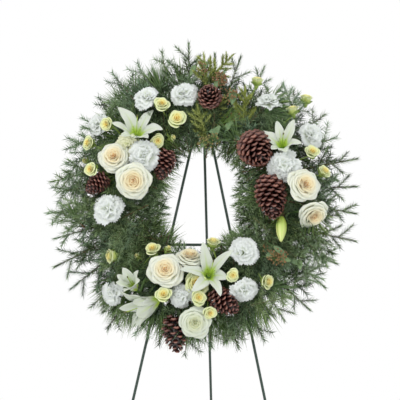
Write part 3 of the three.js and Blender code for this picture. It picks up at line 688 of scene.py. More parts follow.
def addLily(pile, throat, holder, look):
    # six petals; the angle each makes with the lily's axis grows from cup to flare along its length,
    # and the curve is summed into radius and height; the petal is a channel with wavy edges
    rows, columns = 20, 9
    u, v = petalGrid(rows, columns)
    petal = look["petal"] / 1000
    count = 6
    inner = (np.arange(count) % 2)[:, None, None]
    jitter = rng.uniform(-1, 1, (count, 4))[:, :, None, None]
    own = np.array(look.get("flares", [0] * 6), float)[:, None, None]
    angle = np.radians(look["cup"] + (look["flare"] + own + 6 * jitter[:, 0] - look["cup"]) * u ** 1.25)
    length = petal * np.array(look.get("lengths", [1] * 6), float)[:, None, None] * (1 + 0.04 * jitter[:, 1])
    step = length / (rows - 1)
    r = 0.06 * petal + np.cumsum(np.sin(angle) * step, axis=1) - np.sin(angle[:, :1]) * step
    z = np.cumsum(np.cos(angle) * step, axis=1) - np.cos(angle[:, :1]) * step - 0.22 * petal
    shape = np.sin(np.pi * np.clip(u, 0, 1) ** 0.92) ** 0.62
    taper = np.maximum(shape * (1 - 0.12 * u), 0.16 * (1 - u) + 0.012)
    half = 0.5 * petal * look.get("wide", 1.0) * blend(0.34, 0.44, inner) * taper
    side = v * half
    channel = blend(0.28, 0.05, u) * half * v ** 2 - 0.10 * half * (1 - np.abs(v)) ** 3
    wave = 0.16 * half * np.abs(v) ** 2 * np.sin(u * 14 + 5 * jitter[:, 2] + v) * smooth(u, 0.2, 0.6)
    lift = channel + wave
    r, z = r - lift * np.cos(angle) * 1.0, z + lift * np.sin(angle)
    twist = 0.30 * jitter[:, 3] * u ** 2
    turn = np.radians(np.arange(count) * 60.0)[:, None, None] + twist
    inset = np.where(inner > 0, 0.0, -0.0012)
    local = np.stack([r * np.cos(turn) - side * np.sin(turn), r * np.sin(turn) + side * np.cos(turn),
                      z + inset], -1)
    addShells(pile, throat + local @ holder.T, 0.0009, jitter[:, 0].ravel() * 0.5 + 0.5, 0)
    # pistil with a swollen stigma, and six filaments cut short
    sway = np.array(look.get("sway", (0.1, 0.05)))
    s = np.linspace(0, 1, 12)
    reach = look.get("pistil", 0.78) * petal
    path = np.stack([sway[0] * reach * s ** 2, sway[1] * reach * s ** 2, -0.2 * petal + reach * s], -1)
    radii = np.interp(s, [0, 0.08, 0.2, 0.9, 0.94, 1.0], [0.0026, 0.003, 0.0012, 0.0010, 0.0026, 0.0022])
    addTubes(pile, (throat + path @ holder.T)[None], radii, 8, 0.5, 1)
    s = np.linspace(0, 1, 6)
    around = np.radians(np.arange(6) * 60.0 + 30)[:, None]
    bow = 0.03 * petal + 0.10 * petal * s ** 1.5
    path = np.stack([bow * np.cos(around), bow * np.sin(around), (-0.2 + 0.42 * s) * petal + 0 * around], -1)
    addTubes(pile, throat + path @ holder.T, 0.0007, 5, 0.5, 1)
    # tube of the flower behind the petals, and its stem
    path = np.array([[0, 0, -0.52], [0, 0, -0.42], [0, 0, -0.3], [0, 0, -0.2], [0, 0, -0.14]]) * petal
    radii = np.array([0.035, 0.05, 0.065, 0.075, 0.05]) * petal
    addTubes(pile, (throat + path @ holder.T)[None], radii, 12, 0.5, 2)


# petal: its length as a share of the CAD head's widest side
lilies = {
    "left": {"to": (80, 36), "petal": 0.56, "cup": 22, "flare": 78, "turn": 59,
             "lengths": (0.98, 1.06, 0.98, 0.9, 0.95, 1.04), "sway": (0.2, 0.1)},
    "right": {"to": (96, 28), "petal": 0.58, "cup": 20, "flare": 72, "turn": -18,
              "lengths": (1.06, 1.1, 1.0, 0.95, 0.7, 0.8), "flares": (6, -10, 22, 20, 0, 0)},
    "bottom": {"to": (40, 18), "petal": 0.50, "cup": 20, "flare": 84, "turn": 54, "wide": 0.84,
               "flares": (-18, -8, 24, 14, 0, -20), "lengths": (1.16, 1.12, 1.0, 1.02, 1.02, 0.66),
               "sway": (0.25, 0.15)},
    "low_left": {"to": (132, 36), "petal": 0.80, "cup": 6, "flare": 46, "turn": 40,
                 "wide": 1.2, "flares": (20, -6, 24, -8, 14, 22)},
    "low": {"to": (212, 66), "petal": 0.68, "cup": 10, "flare": 38, "turn": 42,
            "pistil": 0.98, "wide": 1.0, "flares": (8, 20, -4, 26, -6, 10)},
}
throatBack = 0.14        # how far the throat lies behind the head's middle, in petal lengths
for name, lily in lilies.items():
    pile = Pile()
    head = headsOf(f"lily_{name}")[0]
    way, petal = tipped(*lily["to"]), lily["petal"] * head["size"]
    at = head["middle"] - way * petal * throatBack
    keepClear(at + way * petal * 0.4, petal * 0.8, 0.0)
    addLily(pile, at, bloomFrame(way, lily["turn"]), {**lily, "petal": petal * 1000})
    addStem(pile, at - way * petal * 0.5, rootUnder(at), 0.006, 2)
    pile.build(f"lily_{name}_bloom", lilyMaterials, [f"lily_{name}"])


def budFinish():
    finish = Finish("lily_bud", Roughness=0.4, Subsurface_Weight=0.1, Subsurface_Scale=0.003)
    along, across = finish.along()
    rib = (across * 37.7).through("SINE")
    body = finish.mix(finish.band(along, 0.0, 0.9), (0.44, 0.58, 0.10), (0.74, 0.80, 0.32))
    finish.feed("Base Color", finish.mix((rib * 0.5 + 0.5) * 0.4, body, (0.34, 0.52, 0.06)))
    finish.feed("Roughness", finish.noise(200.0) * 0.2 + 0.3)
    finish.bump(finish.noise(200.0, 3.0), 0.2, 0.0004)
    return finish.material


def makeBud():
    # a closed bud: radius rises and falls along its length, with six soft ribs
    pile = Pile()
    head = headsOf("lily_bud")[0]
    stretch = np.linalg.svd(head["points"] - head["points"].mean(0), full_matrices=False)[2][0]
    half = stretch * math.copysign(head["size"] * 0.46, -stretch[1])
    foot, tip = head["middle"] - half, head["middle"] + half
    s = np.linspace(0, 1, 24)
    path = blend(foot, tip, s[:, None])
    radius = 0.0125 * np.sin(np.pi * np.clip(0.06 + 0.9 * s, 0, 1) ** 0.85) ** 0.75
    tangent = unitOf(tip - foot)
    first = unitOf(np.cross([0, 0, 1.0], tangent))
    second = np.cross(tangent, first)
    turn = np.linspace(0, 2 * np.pi, 36, endpoint=False)
    swell = radius[:, None] * (1 + 0.07 * np.cos(6 * turn))
    around = first * np.cos(turn)[:, None] + second * np.sin(turn)[:, None]
    rings = path[:, None] + swell[..., None] * around
    points = np.concatenate([rings.reshape(-1, 3), path[:1] - tangent * 0.001, path[-1:] + tangent * 0.002])
    quads, fans = tubeFaces(24, 36)
    along = np.concatenate([np.repeat(s, 36), [0, 1]])
    around = np.concatenate([np.tile(turn / (2 * np.pi), 24), [0, 0]])
    pile.add(points, [quads, fans], np.stack([along, around], -1), 0.5)
    addStem(pile, foot - tangent * 0.002, rootUnder(foot), 0.004, 1)
    pile.build("lily_bud_closed", [budFinish(), stemMaterial], ["lily_bud"])


makeBud()
print("lilies made")


def coneFinish(name, dark, body, lip, paintedGlint):
    # dark inside as painted shade, warm brown on the scale, paler towards the lip, with streaks along each
    # scale
    finish = Finish(name, Roughness=0.4, Specular_IOR_Level=0.75)
    along = finish.along()[0]
    streak = finish.noise(180.0, 4.0)
    # painted shade: the part of each scale near its root, hidden inside the cone, takes the near-black dark
    # colour
    tone = finish.mix(finish.band(along, 0.35, 0.8), dark, body)
    edge = finish.band(along + streak * 0.12, 0.93, 1.06)
    # the pale lip is partly the scales' own pale edge and partly a painted highlight
    tone = finish.mix(edge * (finish.shade() * 0.75 + 0.15), tone, lip)
    # painted highlight: the streaks lean towards the lighter glint colour, scale by scale
    finish.feed("Base Color", finish.mix(streak * finish.shade() * 0.5, tone, paintedGlint))
    finish.feed("Roughness", streak * 0.35 + 0.15)
    finish.bump(streak, 0.35, 0.0008)
    return finish.material


# dark: painted shade inside the cone; lip: the scales' own pale edge and a painted highlight; glint: a
# painted highlight
coneMaterial = coneFinish("pine_cone", (0.007, 0.002, 0.002), (0.062, 0.014, 0.009), (0.46, 0.20, 0.14),
                          (0.14, 0.038, 0.028))
coneLook = {"scales": 94, "rows": 6, "columns": 6}


def addCone(pile, middle, axis, length, width, look):
    # scales at the golden angle up an egg-shaped body: each a plate that widens and thickens to a rounded lip
    count = look["scales"]
    axis = unitOf(axis)
    first = unitOf(np.cross([0.2, 0.3, 0.9], axis))
    second = np.cross(axis, first)
    s = (np.arange(count) + 0.5) / count
    place = s ** 0.92
    profile = np.sin(np.pi * (0.10 + 0.893 * place) ** 0.80) ** 0.62
    envelope = profile * width / 2
    opening = np.radians(blend(104, look["gape"] - 14, place ** 1.25) + rng.uniform(-6, 6, count))
    turn = np.radians(137.508 * np.arange(count)) + rng.uniform(-0.05, 0.05, count)
    radial = first * np.cos(turn)[:, None] + second * np.sin(turn)[:, None]
    lead = axis * np.cos(opening)[:, None] + radial * np.sin(opening)[:, None]
    across = np.cross(axis, radial)
    thick = np.cross(lead, across)
    size = blend(0.31, 0.20, place) * width * (0.7 + 0.3 * profile)
    reach = np.maximum(envelope * 0.80, 0.16 * width)
    height = (place - 0.5) * length * 0.92
    tip = middle + axis * height[:, None] + radial * envelope[:, None]
    root = tip - lead * reach[:, None]
    u, v = petalGrid(look["rows"], look["columns"])
    rounded = np.sqrt(np.clip(1 - (np.clip(u - 0.78, 0, 1) / 0.235) ** 2, 0.02, 1))
    blade = (0.30 + 0.70 * smooth(u, 0.0, 0.72)) * rounded
    side = v * blade * (size / 2)[:, None, None]
    forward = u * reach[:, None, None]
    each = size[:, None, None]
    hollow = (0.12 * (1 - v ** 2) - 0.10) * each * u - 0.10 * each * smooth(u, 0.7, 1.0)
    middleSurface = (root[:, None, None] + lead[:, None, None] * forward[..., None]
                     + across[:, None, None] * side[..., None] + thick[:, None, None] * hollow[..., None])
    body = 0.10 + 0.28 * smooth(u, 0.5, 0.88) * (1 - 0.55 * smooth(u, 0.92, 1.0)) * (1 - 0.6 * v ** 2)
    addShells(pile, middleSurface, body * size[:, None, None], rng.uniform(0, 1, count))
    # painted shade: the core takes the near-black dark colour, deep inside the cone
    core = np.linspace(-0.44, 0.34, 9)
    path = middle + axis * (core * length)[:, None]
    addTubes(pile, path[None], width * 0.25 * np.cos(core * 3.35 + 0.2) ** 0.6, 12, 0.0, uvReach=0.0)


# slim: width as a share of the length, which is the CAD head's widest side and a little more
cones = {
    "top": {"heading": 100, "rise": 66, "slim": 0.95},
    "right_upper": {"heading": -60, "rise": 34, "slim": 0.90},
    "right_lower": {"heading": -80, "rise": 14, "slim": 0.65},
    "left_inner": {"heading": -102, "rise": 8, "slim": 0.64},
    "left_outer": {"heading": -140, "rise": 14, "slim": 0.72},
    "bottom_right": {"heading": -36, "rise": 16, "slim": 0.68},
    "bottom_left": {"heading": -86, "rise": 6, "slim": 0.68, "scales": 54, "gape": 34},
}
coneFit = 1.05        # length against the CAD head's widest side
for name, cone in cones.items():
    pile = Pile()
    head = headsOf(f"cone_{name}")[0]
    at, length = head["middle"], head["size"] * coneFit
    width = length * cone["slim"]
    axis = tipped(cone["heading"], 90 - cone["rise"])
    keepClear(at + axis * length * 0.25, width * 0.5)
    keepClear(at - axis * length * 0.25, width * 0.5)
    scales = cone.get("scales", 94 if width > 0.070 else 76)
    addCone(pile, at, axis, length, width, {**coneLook, "scales": scales, "gape": cone.get("gape", 0)})
    addStem(pile, at, rootUnder(at), 0.004, 1)
    pile.build(f"cone_{name}_scales", [coneMaterial, barkMaterial], [f"cone_{name}"])
print("cones made")


def leafFinish(name, dark, light, rib):
    # two greens in soft patches, a pale rib down the middle, and side veins that fan from it
    finish = Finish(name, Roughness=0.55, Subsurface_Weight=0.08, Subsurface_Scale=0.002)
    along, across = finish.along()
    fromRib = (across - 0.5).through("ABSOLUTE")
    body = finish.mix(finish.shade() * 0.7 + finish.noise(55.0, 3.0) * 0.3, dark, light)
    wave = (along * 70.0 - fromRib * 60.0).through("SINE")
    body = finish.mix((wave * 0.5 + 0.5) * 0.14, body, rib)
    finish.feed("Base Color", finish.mix((1 - finish.band(fromRib, 0.0, 0.07)) * 0.6, body, rib))
    finish.feed("Roughness", finish.noise(120.0) * 0.2 + 0.42)
    finish.bump(wave * 0.2 + finish.noise(140.0, 3.0) * 0.5, 0.25, 0.0004)
    return finish.material


def seedFinish():
    # green seeds ripen to orange and then red-brown by their own shade
    finish = Finish("eucalyptus_seed", Roughness=0.55)
    grain = finish.noise(400.0, 3.0)
    tone = finish.ramp(finish.shade(), [
        (0.0, (0.32, 0.44, 0.06)), (0.3, (0.17, 0.20, 0.06)), (0.6, (0.25, 0.14, 0.05)),
        (1.0, (0.15, 0.055, 0.03))])
    finish.feed("Base Color", finish.mix(grain * 0.4, tone, (0.42, 0.30, 0.14)))
    finish.feed("Roughness", grain * 0.3 + 0.4)
    finish.bump(grain, 0.4, 0.0005)
    return finish.material


sageMaterial = leafFinish("sage_leaf", (0.05, 0.11, 0.045), (0.20, 0.31, 0.13), (0.34, 0.46, 0.24))
leafMaterials = [sageMaterial, seedFinish(), stemMaterial]
seedBody = spindle([0.12, 0.5, 0.9], [0.34, 0.5, 0.26], 5)

# how many leaves and seed heads each spray carries, and how ripe its seeds are
sprayLeaves = {"eucalyptus_top": {"leaves": 12, "seeds": 8, "ripe": 0.8},
               "eucalyptus_inner": {"leaves": 7, "seeds": 5, "ripe": 0.35},
               "eucalyptus_low": {"leaves": 7, "seeds": 5, "ripe": 0.65}}


def spotsOn(points, count):
    # some of a solid's corners, picked at random and each at most once
    return points[rng.permutation(len(points))[:count]]


def addLeaves(pile, leaves):
    # a blade that is widest below its middle, folded a little at the rib, with the tip curling back
    u, v = petalGrid(12, 7)
    middle, heading, length, width, tone = leaves
    frames = framesFor(unitOf(ringPoint(heading, 1.0, rng.uniform(-0.15, 0.35, len(middle)))),
                       [0.1, 0.15, 1.0])
    shape = np.sin(np.pi * np.clip(u, 0, 1) ** 0.85) ** 0.8 * (1 - 0.1 * u) + 0.03
    side = v * shape * (width / 2)[:, None, None]
    x = (u - 0.5) * length[:, None, None] + 0 * v
    z = np.abs(v) * shape * 0.18 * width[:, None, None] - 0.10 * length[:, None, None] * (u - 0.4) ** 2
    local = np.stack([x, side, z], -1)
    points = middle[:, None, None] + np.einsum("kij,kuvj->kuvi", frames, local)
    addShells(pile, points, 0.0006, tone, 0)
    stalk = points[:, 0, 3]
    t = np.linspace(0, 1, 5)[None, :, None]
    root = stalk - frames[:, :, 0] * (length * 0.5)[:, None] - np.array([0, 0, 0.012])
    addTubes(pile, blend(stalk[:, None], root[:, None], t), 0.0008, 5, 0.4, 2)


def addSeeds(pile, centres, ripe):
    # each cluster is a head of small stalks with a top-shaped seed on each
    for centre in centres:
        radius = rng.uniform(13, 20)
        count = int(radius * 1.5)
        way = unitOf(rng.normal(0, 1, (count, 3)) + np.array([0, 0, 0.5]))
        reach = radius / 1000 * rng.uniform(0.3, 1.15, count)
        foot = centre + way * reach[:, None]
        root = centre - np.array([0, 0, 0.008]) + 0 * foot
        t = np.linspace(0, 1, 3)[None, :, None]
        addTubes(pile, blend(root[:, None], foot[:, None], t), 0.0006, 4, 0.6, 2)
        size = rng.uniform(0.0036, 0.0052, count)
        tone = np.clip(ripe + rng.uniform(-0.18, 0.18, count), 0, 1)
        sizes = np.stack([size * 1.15, size, size], -1)
        addStamps(pile, seedBody, foot, framesFor(way), sizes, tone, finish=1)


for name, group in sprayLeaves.items():
    pile = Pile()
    head = headsOf(name)[0]
    stretch = np.linalg.svd(head["points"] - head["points"].mean(0), full_matrices=False)[2][0]
    count = group["leaves"]
    length = rng.uniform(0.024, 0.040, count)
    heading = clockAngle(stretch) + rng.uniform(-70, 70, count)
    middles = spotsOn(head["points"], count)
    width, tone = length * rng.uniform(0.36, 0.5, count), rng.uniform(0.3, 0.9, count)
    addLeaves(pile, (middles, heading, length, width, tone))
    addSeeds(pile, spotsOn(head["points"], group["seeds"]), group["ripe"])
    for middle in middles[:3]:
        start = middle - np.array([0, 0, 0.012])
        addStem(pile, start, rootUnder(start), 0.0022, 2)
    pile.build(f"leaves_{name}", leafMaterials, [name])
print("eucalyptus made")

# greens: how a sprig branches and how its needles stand
fir = {"pairs": 3, "branchAngle": 52, "needle": 0.0175, "width": 0.0031, "density": 760, "flat": 0.45,
       "stand": 66, "finish": 0}
spruce = {"pairs": 3, "branchAngle": 44, "needle": 0.0155, "width": 0.0028, "density": 900, "flat": 0.9,
          "stand": 52, "finish": 0}
olive = {"pairs": 4, "branchAngle": 40, "needle": 0.012, "width": 0.0036, "density": 1150, "flat": 0.8,
         "stand": 42, "finish": 2}
pine = {"width": 0.0018, "perTuft": 54, "spread": 34, "finish": 1}
shortNeedle = spike()
longNeedle = spindle([0.12, 0.7], [0.5, 0.42], 3)
twigBody = spindle([0.02, 0.9], [0.5, 0.3], 5)


def needleFinish(name, deep, mid, light, tinted, tip, roughness):
    # each needle's own shade runs from deep to light green; the sprig's tone leans it to a second tint,
    # and needles pale towards their tips
    finish = Finish(name, Roughness=roughness, Specular_IOR_Level=0.14)
    along, tone = finish.along()
    shade = finish.shade() * 0.85 + finish.noise(12.0) * 0.3 - 0.08
    body = finish.ramp(shade, [(0.0, deep), (0.5, mid), (1.0, light)])
    body = finish.mix(tone * 0.75, body, finish.mix(shade, deep, tinted))
    finish.feed("Base Color", finish.mix(finish.band(along, 0.5, 1.0) * 0.4, body, tip))
    finish.feed("Roughness", finish.noise(60.0) * 0.2 + (roughness - 0.1))
    return finish.material


# the deep colours, near black, are partly painted shade: needles of the darkened back ranks sink towards them
greens = [
    needleFinish("fir_needles", (0.010, 0.022, 0.006), (0.118, 0.190, 0.062), (0.40, 0.53, 0.24),
                 (0.30, 0.46, 0.33), (0.36, 0.50, 0.26), 0.5),
    needleFinish("pine_needles", (0.014, 0.034, 0.005), (0.138, 0.235, 0.046), (0.42, 0.56, 0.17),
                 (0.24, 0.39, 0.23), (0.34, 0.48, 0.20), 0.45),
    needleFinish("olive_needles", (0.044, 0.064, 0.012), (0.275, 0.335, 0.080), (0.54, 0.60, 0.21),
                 (0.36, 0.42, 0.09), (0.46, 0.53, 0.17), 0.55),
    barkMaterial]


def addSprigs(pile, base, lead, length, plane, look, tone, paintedGloom=0.0):
    # a main twig along the lead, pairs of side twigs that shorten towards its tip, and needles round them all
    count = len(base)
    lead = unitOf(lead)
    side = unitOf(np.cross(plane, lead))
    plane = np.cross(lead, side)
    pairs = look["pairs"]
    step = np.linspace(0.2, 0.74, pairs)[None] + rng.uniform(-0.05, 0.05, (count, pairs))
    # painted shade and light: the gloom darkens every needle of a rank that lies deep or behind, and a
    # negative gloom lightens sprigs in front
    own = np.clip(rng.normal(0.02, 0.20, count) - paintedGloom, -0.65, 0.45)
    starts, ends, planes, tones, moodsAndPaintedShade = [base], [base + lead * length[:, None]], [plane], [tone], [own]
    for sign in (-1, 1):
        opening = np.radians(look["branchAngle"] + rng.uniform(-10, 10, (count, pairs)))
        reach = length[:, None] * (0.44 * (1 - step) + 0.10) * rng.uniform(0.75, 1.2, (count, pairs))
        out = (lead[:, None] * np.cos(opening)[..., None] + sign * side[:, None] * np.sin(opening)[..., None]
               + plane[:, None] * rng.uniform(-0.25, 0.25, (count, pairs))[..., None])
        start = base[:, None] + lead[:, None] * (length[:, None] * (step + sign * 0.05))[..., None]
        starts.append(start.reshape(-1, 3))
        ends.append((start + unitOf(out) * reach[..., None]).reshape(-1, 3))
        planes.append(np.repeat(plane, pairs, axis=0))
        tones.append(np.repeat(tone, pairs))
        moodsAndPaintedShade.append(np.repeat(own, pairs) + rng.normal(0, 0.10, count * pairs))
    starts, ends, planes = (np.concatenate(group) for group in (starts, ends, planes))
    tones, moodsAndPaintedShade = np.concatenate(tones), np.concatenate(moodsAndPaintedShade)
    run = ends - starts
    size = np.linalg.norm(run, axis=1)
    along = run / size[:, None]
    width = np.clip(size * 0.018, 0.0012, 0.0030)
    addStamps(pile, twigBody, starts, framesFor(along, planes), np.stack([size, width, width], -1),
              rng.uniform(0, 1, len(size)), finish=3)
    addNeedles(pile, starts, along, size, planes, look, tones, moodsAndPaintedShade)


def addNeedles(pile, starts, along, size, planes, look, tones, moodsAndPaintedShade):
    # needles turn about their twig at the golden angle, flattened towards the sprig's own plane,
    # and lean further forward near the twig's tip
    counts = np.maximum((size * look["density"]).astype(int), 6)
    which = np.repeat(np.arange(len(size)), counts)
    order = np.arange(len(which)) - np.repeat(np.cumsum(counts) - counts, counts)
    total = len(which)
    way = (order + rng.uniform(0, 1, total)) / counts[which]
    turn = order * 2.4 + rng.uniform(-0.4, 0.4, total)
    across = unitOf(np.cross(planes, along))[which]
    radial = unitOf(across * np.cos(turn)[:, None] + planes[which] * (np.sin(turn) * look["flat"])[:, None])
    stand = np.radians(look["stand"] - 30 * smooth(way, 0.75, 1.0) + rng.uniform(-7, 7, total))
    lead = along[which] * np.cos(stand)[:, None] + radial * np.sin(stand)[:, None]
    length = look["needle"] * rng.uniform(0.8, 1.12, total) * (0.6 + 0.4 * smooth(way, 0.0, 0.15))
    width = look["width"] * rng.uniform(0.8, 1.2, total)
    origin = starts[which] + along[which] * (size[which] * way)[:, None]
    shade = np.clip(rng.uniform(0, 1, total) ** 1.2 + 0.10 * way + moodsAndPaintedShade[which], 0, 1)
    kept = ~underBloom(origin)
    sizes = np.stack([length, width, width * 0.6], -1)
    addStamps(pile, shortNeedle, origin[kept], framesFor(lead, radial)[kept], sizes[kept], shade[kept],
              finish=look["finish"], tone=tones[which][kept])


def underBloom(origin):
    # a needle that would root inside a bloom's own disc and below its face is left out
    hidden = np.zeros(len(origin), bool)
    for right, up, reach, solid in crowd:
        apart = np.hypot(origin[:, 0] - right, origin[:, 1] - up)
        hidden |= (apart < solid) & (origin[:, 2] > 0.020) & (origin[:, 2] < 0.075)
    return hidden


def addTufts(pile, base, lead, length, look):
    # long needles that leave the end of a twig in a brush, and sag a little under their own weight
    count, per = len(base), look["perTuft"]
    lead = unitOf(lead)
    frames = framesFor(lead)
    which = np.repeat(np.arange(count), per)
    total = len(which)
    turn = rng.uniform(0, 2 * np.pi, total)
    opening = np.radians(look["spread"]) * rng.uniform(0.0, 1.0, total) ** 0.6
    off = np.sin(opening)
    tilt = np.stack([np.cos(opening), off * np.cos(turn), off * np.sin(turn) * 0.6], -1)
    out = np.einsum("kij,kj->ki", frames[which], tilt)
    size = length[which] * rng.uniform(0.78, 1.03, total)
    back = rng.uniform(-0.28, 0.0, total)
    origin = base[which] + lead[which] * (back * length[which])[:, None]
    droop = np.array([0, -1, 0]) * (size * rng.uniform(0.0, 0.16, total))[:, None]
    width = look["width"] * rng.uniform(0.85, 1.2, total)
    shade = np.clip(rng.normal(0.5, 0.2, total), 0, 1)
    addStamps(pile, longNeedle, origin, framesFor(out), np.stack([size, width, width], -1), shade,
              droop=droop, finish=look["finish"], tone=rng.uniform(0, 1, count)[which])
    twig = np.stack([length * 0.42, np.full(count, 0.0035), np.full(count, 0.0035)], -1)
    addStamps(pile, twigBody, base - lead * (length * 0.4)[:, None], frames, twig,
              rng.uniform(0, 1, count), finish=3)


# each bundle's kind at its tips and between the blooms, its lean to the second tint, and whether it carries
# long-needled pine
bundleLooks = [("spruce", "fir", 0.25, 0), ("fir", "spruce", 0.55, 0), ("spruce", "olive", 0.5, 0),
               ("fir", "spruce", 0.6, 1), ("fir", "spruce", 0.9, 0), ("spruce", "fir", 0.7, 0),
               ("fir", "spruce", 0.8, 1), ("fir", "spruce", 0.5, 1), ("spruce", "fir", 0.3, 0)]
tipLift = 0.034        # outer tips lie no lower than this, so that their needles stay clear of the back leg


def tipsOf(index, count, inward=False):
    # the bundle's ninth of the ring falls into equal parts; in each, a tip is the corner furthest from the
    # ring's centre, or nearest to it
    points = solidPoints(f"evergreen_bundle_{index + 1}")[0]
    offset = (clockAngle(points) - index * 40 + 180) % 360 - 180
    away = np.hypot(points[:, 0], points[:, 1]) * (-1 if inward else 1)
    part = np.clip(((offset + 20) / 40 * count).astype(int), 0, count - 1)
    return np.array([points[part == k][away[part == k].argmax()] for k in range(count)])


outerTips = [tipsOf(index, 4) for index in range(9)]
innerTips = [tipsOf(index, 2, True) for index in range(9)]
looks = {"fir": fir, "spruce": spruce, "olive": olive}


def outlineReach(angle):
    # reach of the outline at any clock angle, read between the bundles' tips
    every = np.concatenate(outerTips)
    away = np.hypot(every[:, 0], every[:, 1])
    return np.interp(np.asarray(angle) % 360, clockAngle(every) % 360, away, period=360)


def settledLift(tip, lift):
    # under a bloom the greens lie low; elsewhere they keep their lift
    centres, reaches = np.array([bloom[:2] for bloom in crowd]), np.array([bloom[2] for bloom in crowd])
    gap = np.linalg.norm(tip[:, None, :2] - centres[None], axis=-1) - reaches[None] - 0.008
    return np.where(gap.min(axis=1) < 0, np.minimum(lift, 0.046), lift)


def addOutwardSprigs(pile, angle, reach, lift, length, look, tone, spin=10.0, paintedGloom=0.0, settle=False):
    # sprigs whose tips lie at the given reach; they lean off the radius by a few degrees
    count = len(angle)
    tip = ringPoint(angle, reach, lift)
    if settle:
        tip[:, 2] = settledLift(tip, tip[:, 2])
    heading = np.asarray(angle) + rng.uniform(-spin, spin, count)
    slope = rng.uniform(-0.1, 0.2, count)
    lead = unitOf(ringPoint(heading, 1.0, 0.0) - np.array([0, 0, 1.0]) * slope[:, None])
    plane = unitOf(np.array([0, 0, 1.0]) + rng.uniform(-0.4, 0.4, (count, 3)))
    addSprigs(pile, tip - lead * length[:, None], lead, length, plane, look, tone, paintedGloom)


def greenBundle(index):
    middle = index * 40.0
    pile = Pile()
    kind, frontKind, tint, hasPine = bundleLooks[index]
    tips = outerTips[index]
    reach, tone = np.hypot(tips[:, 0], tips[:, 1]), np.clip(tint + rng.uniform(-0.25, 0.25, len(tips)), 0, 1)
    addOutwardSprigs(pile, clockAngle(tips), reach, np.maximum(tips[:, 2] + 0.012, tipLift),
                     rng.uniform(0.17, 0.20, len(tips)), looks[kind], tone, 6, 0.10 - 0.32 * tone)
    # a second rank behind the tips, with the most painted shade, a rank between the blooms, and one that
    # turns in to the hole
    for count, spread, near, far, low, high, look in (
            (10, 18, 0.80, 0.93, 0.014, 0.032, fir), (7, 17, 0.68, 0.80, 0.030, 0.050, spruce)):
        angle = middle + np.linspace(-spread, spread, count) + rng.uniform(-3, 3, count)
        addOutwardSprigs(pile, angle, outlineReach(angle) * rng.uniform(near, far, count),
                         rng.uniform(low, high, count), rng.uniform(0.13, 0.16, count), look,
                         rng.uniform(0, 1, count), 16, 0.36 if low < 0.02 else 0.20, True)
    count = 6
    angle = middle + np.linspace(-18, 18, count) + rng.uniform(-3, 3, count)
    addOutwardSprigs(pile, angle, rng.uniform(0.225, 0.275, count), rng.uniform(0.048, 0.070, count),
                     rng.uniform(0.09, 0.12, count), fir if index % 2 else spruce,
                     rng.uniform(0, 1, count), 50, 0.12, True)
    count = 6
    angle = middle + np.linspace(-17, 17, count) + rng.uniform(-2, 2, count)
    narrow = 0.030 * np.cos(np.radians(angle)) ** 2
    tip = ringPoint(angle, rng.uniform(0.112, 0.142, count) - narrow, rng.uniform(0.015, 0.05, count))
    lead = unitOf(ringPoint(angle + 180 + rng.uniform(-30, 30, count), 1.0, -0.1))
    size = rng.uniform(0.09, 0.12, count)
    plane = unitOf(np.array([0, 0, 1.0]) + rng.uniform(-0.4, 0.4, (count, 3)))
    addSprigs(pile, tip - lead * size[:, None], lead, size, plane, spruce, rng.uniform(0, 0.6, count), 0.05)
    # pine: tufts over the outer tips, and tufts at the tips that reach into the hole
    if hasPine:
        angle = np.repeat(clockAngle(tips), 2) + np.tile([-3.0, 3.0], len(tips))
        heading = angle + rng.uniform(-8, 8, len(angle))
        lead = unitOf(ringPoint(heading, 1.0, rng.uniform(-0.1, 0.1, len(angle))))
        tip = ringPoint(angle, np.repeat(reach, 2) * 0.99, np.repeat(tips[:, 2], 2) + 0.022)
        addTufts(pile, tip - lead * 0.094, lead, np.full(len(angle), 0.1), pine)
    inner = np.repeat(innerTips[index], 2, axis=0)
    angle = clockAngle(inner) + np.tile([-4.0, 4.0], 2) + rng.uniform(-2, 2, 4)
    lead = ringPoint(angle + 180 + rng.uniform(-24, 24, 4), 1.0, 0.0)
    tip = ringPoint(angle, np.hypot(inner[:, 0], inner[:, 1]) - rng.uniform(0.0, 0.014, 4), inner[:, 2])
    addTufts(pile, tip - lead * 0.094, lead, np.full(4, 0.1), pine)
    # sprigs and tufts that face the viewer between the blooms; the sprigs' negative gloom is painted light
    for part, count in ((kind, 2), (frontKind, 5), ("pine", 2)):
        angle = middle + rng.uniform(-19, 19, count)
        base = ringPoint(angle, rng.uniform(0.17, 0.33, count), rng.uniform(0.056, 0.066, count))
        base[:, 2] = settledLift(base, base[:, 2])
        lead = unitOf(ringPoint(angle + rng.uniform(-70, 70, count), 1.0, 0.25))
        if part == "pine":
            brush = {**pine, "spread": 58, "perTuft": 46}
            addTufts(pile, base - lead * 0.02, lead, np.full(count, 0.085), brush)
        else:
            plane = np.tile([0.2, 0.1, 1.0], (count, 1))
            addSprigs(pile, base - lead * 0.05, lead, np.full(count, 0.105), plane, looks[part],
                      rng.uniform(0, 1, count), -0.28)
    pile.build(f"greens_{index + 1}", greens, [f"evergreen_bundle_{index + 1}"])


for bundle in range(9):
    greenBundle(bundle)
print("greens made")

# easel and ring: the CAD pieces stay and take worked finishes


def enamelFinish():
    finish = Finish("green_enamel", Roughness=0.4, Coat_Weight=0.3, Coat_Roughness=0.25)
    wear = finish.noise(220.0, 5.0)
    worn = finish.band(wear, 0.62, 0.75) * 0.5
    finish.feed("Base Color", finish.mix(worn, (0.010, 0.036, 0.022), (0.05, 0.08, 0.06)))
    finish.feed("Roughness", finish.noise(60.0) * 0.25 + 0.3)
    finish.bump(wear, 0.25, 0.0004)
    return finish.material


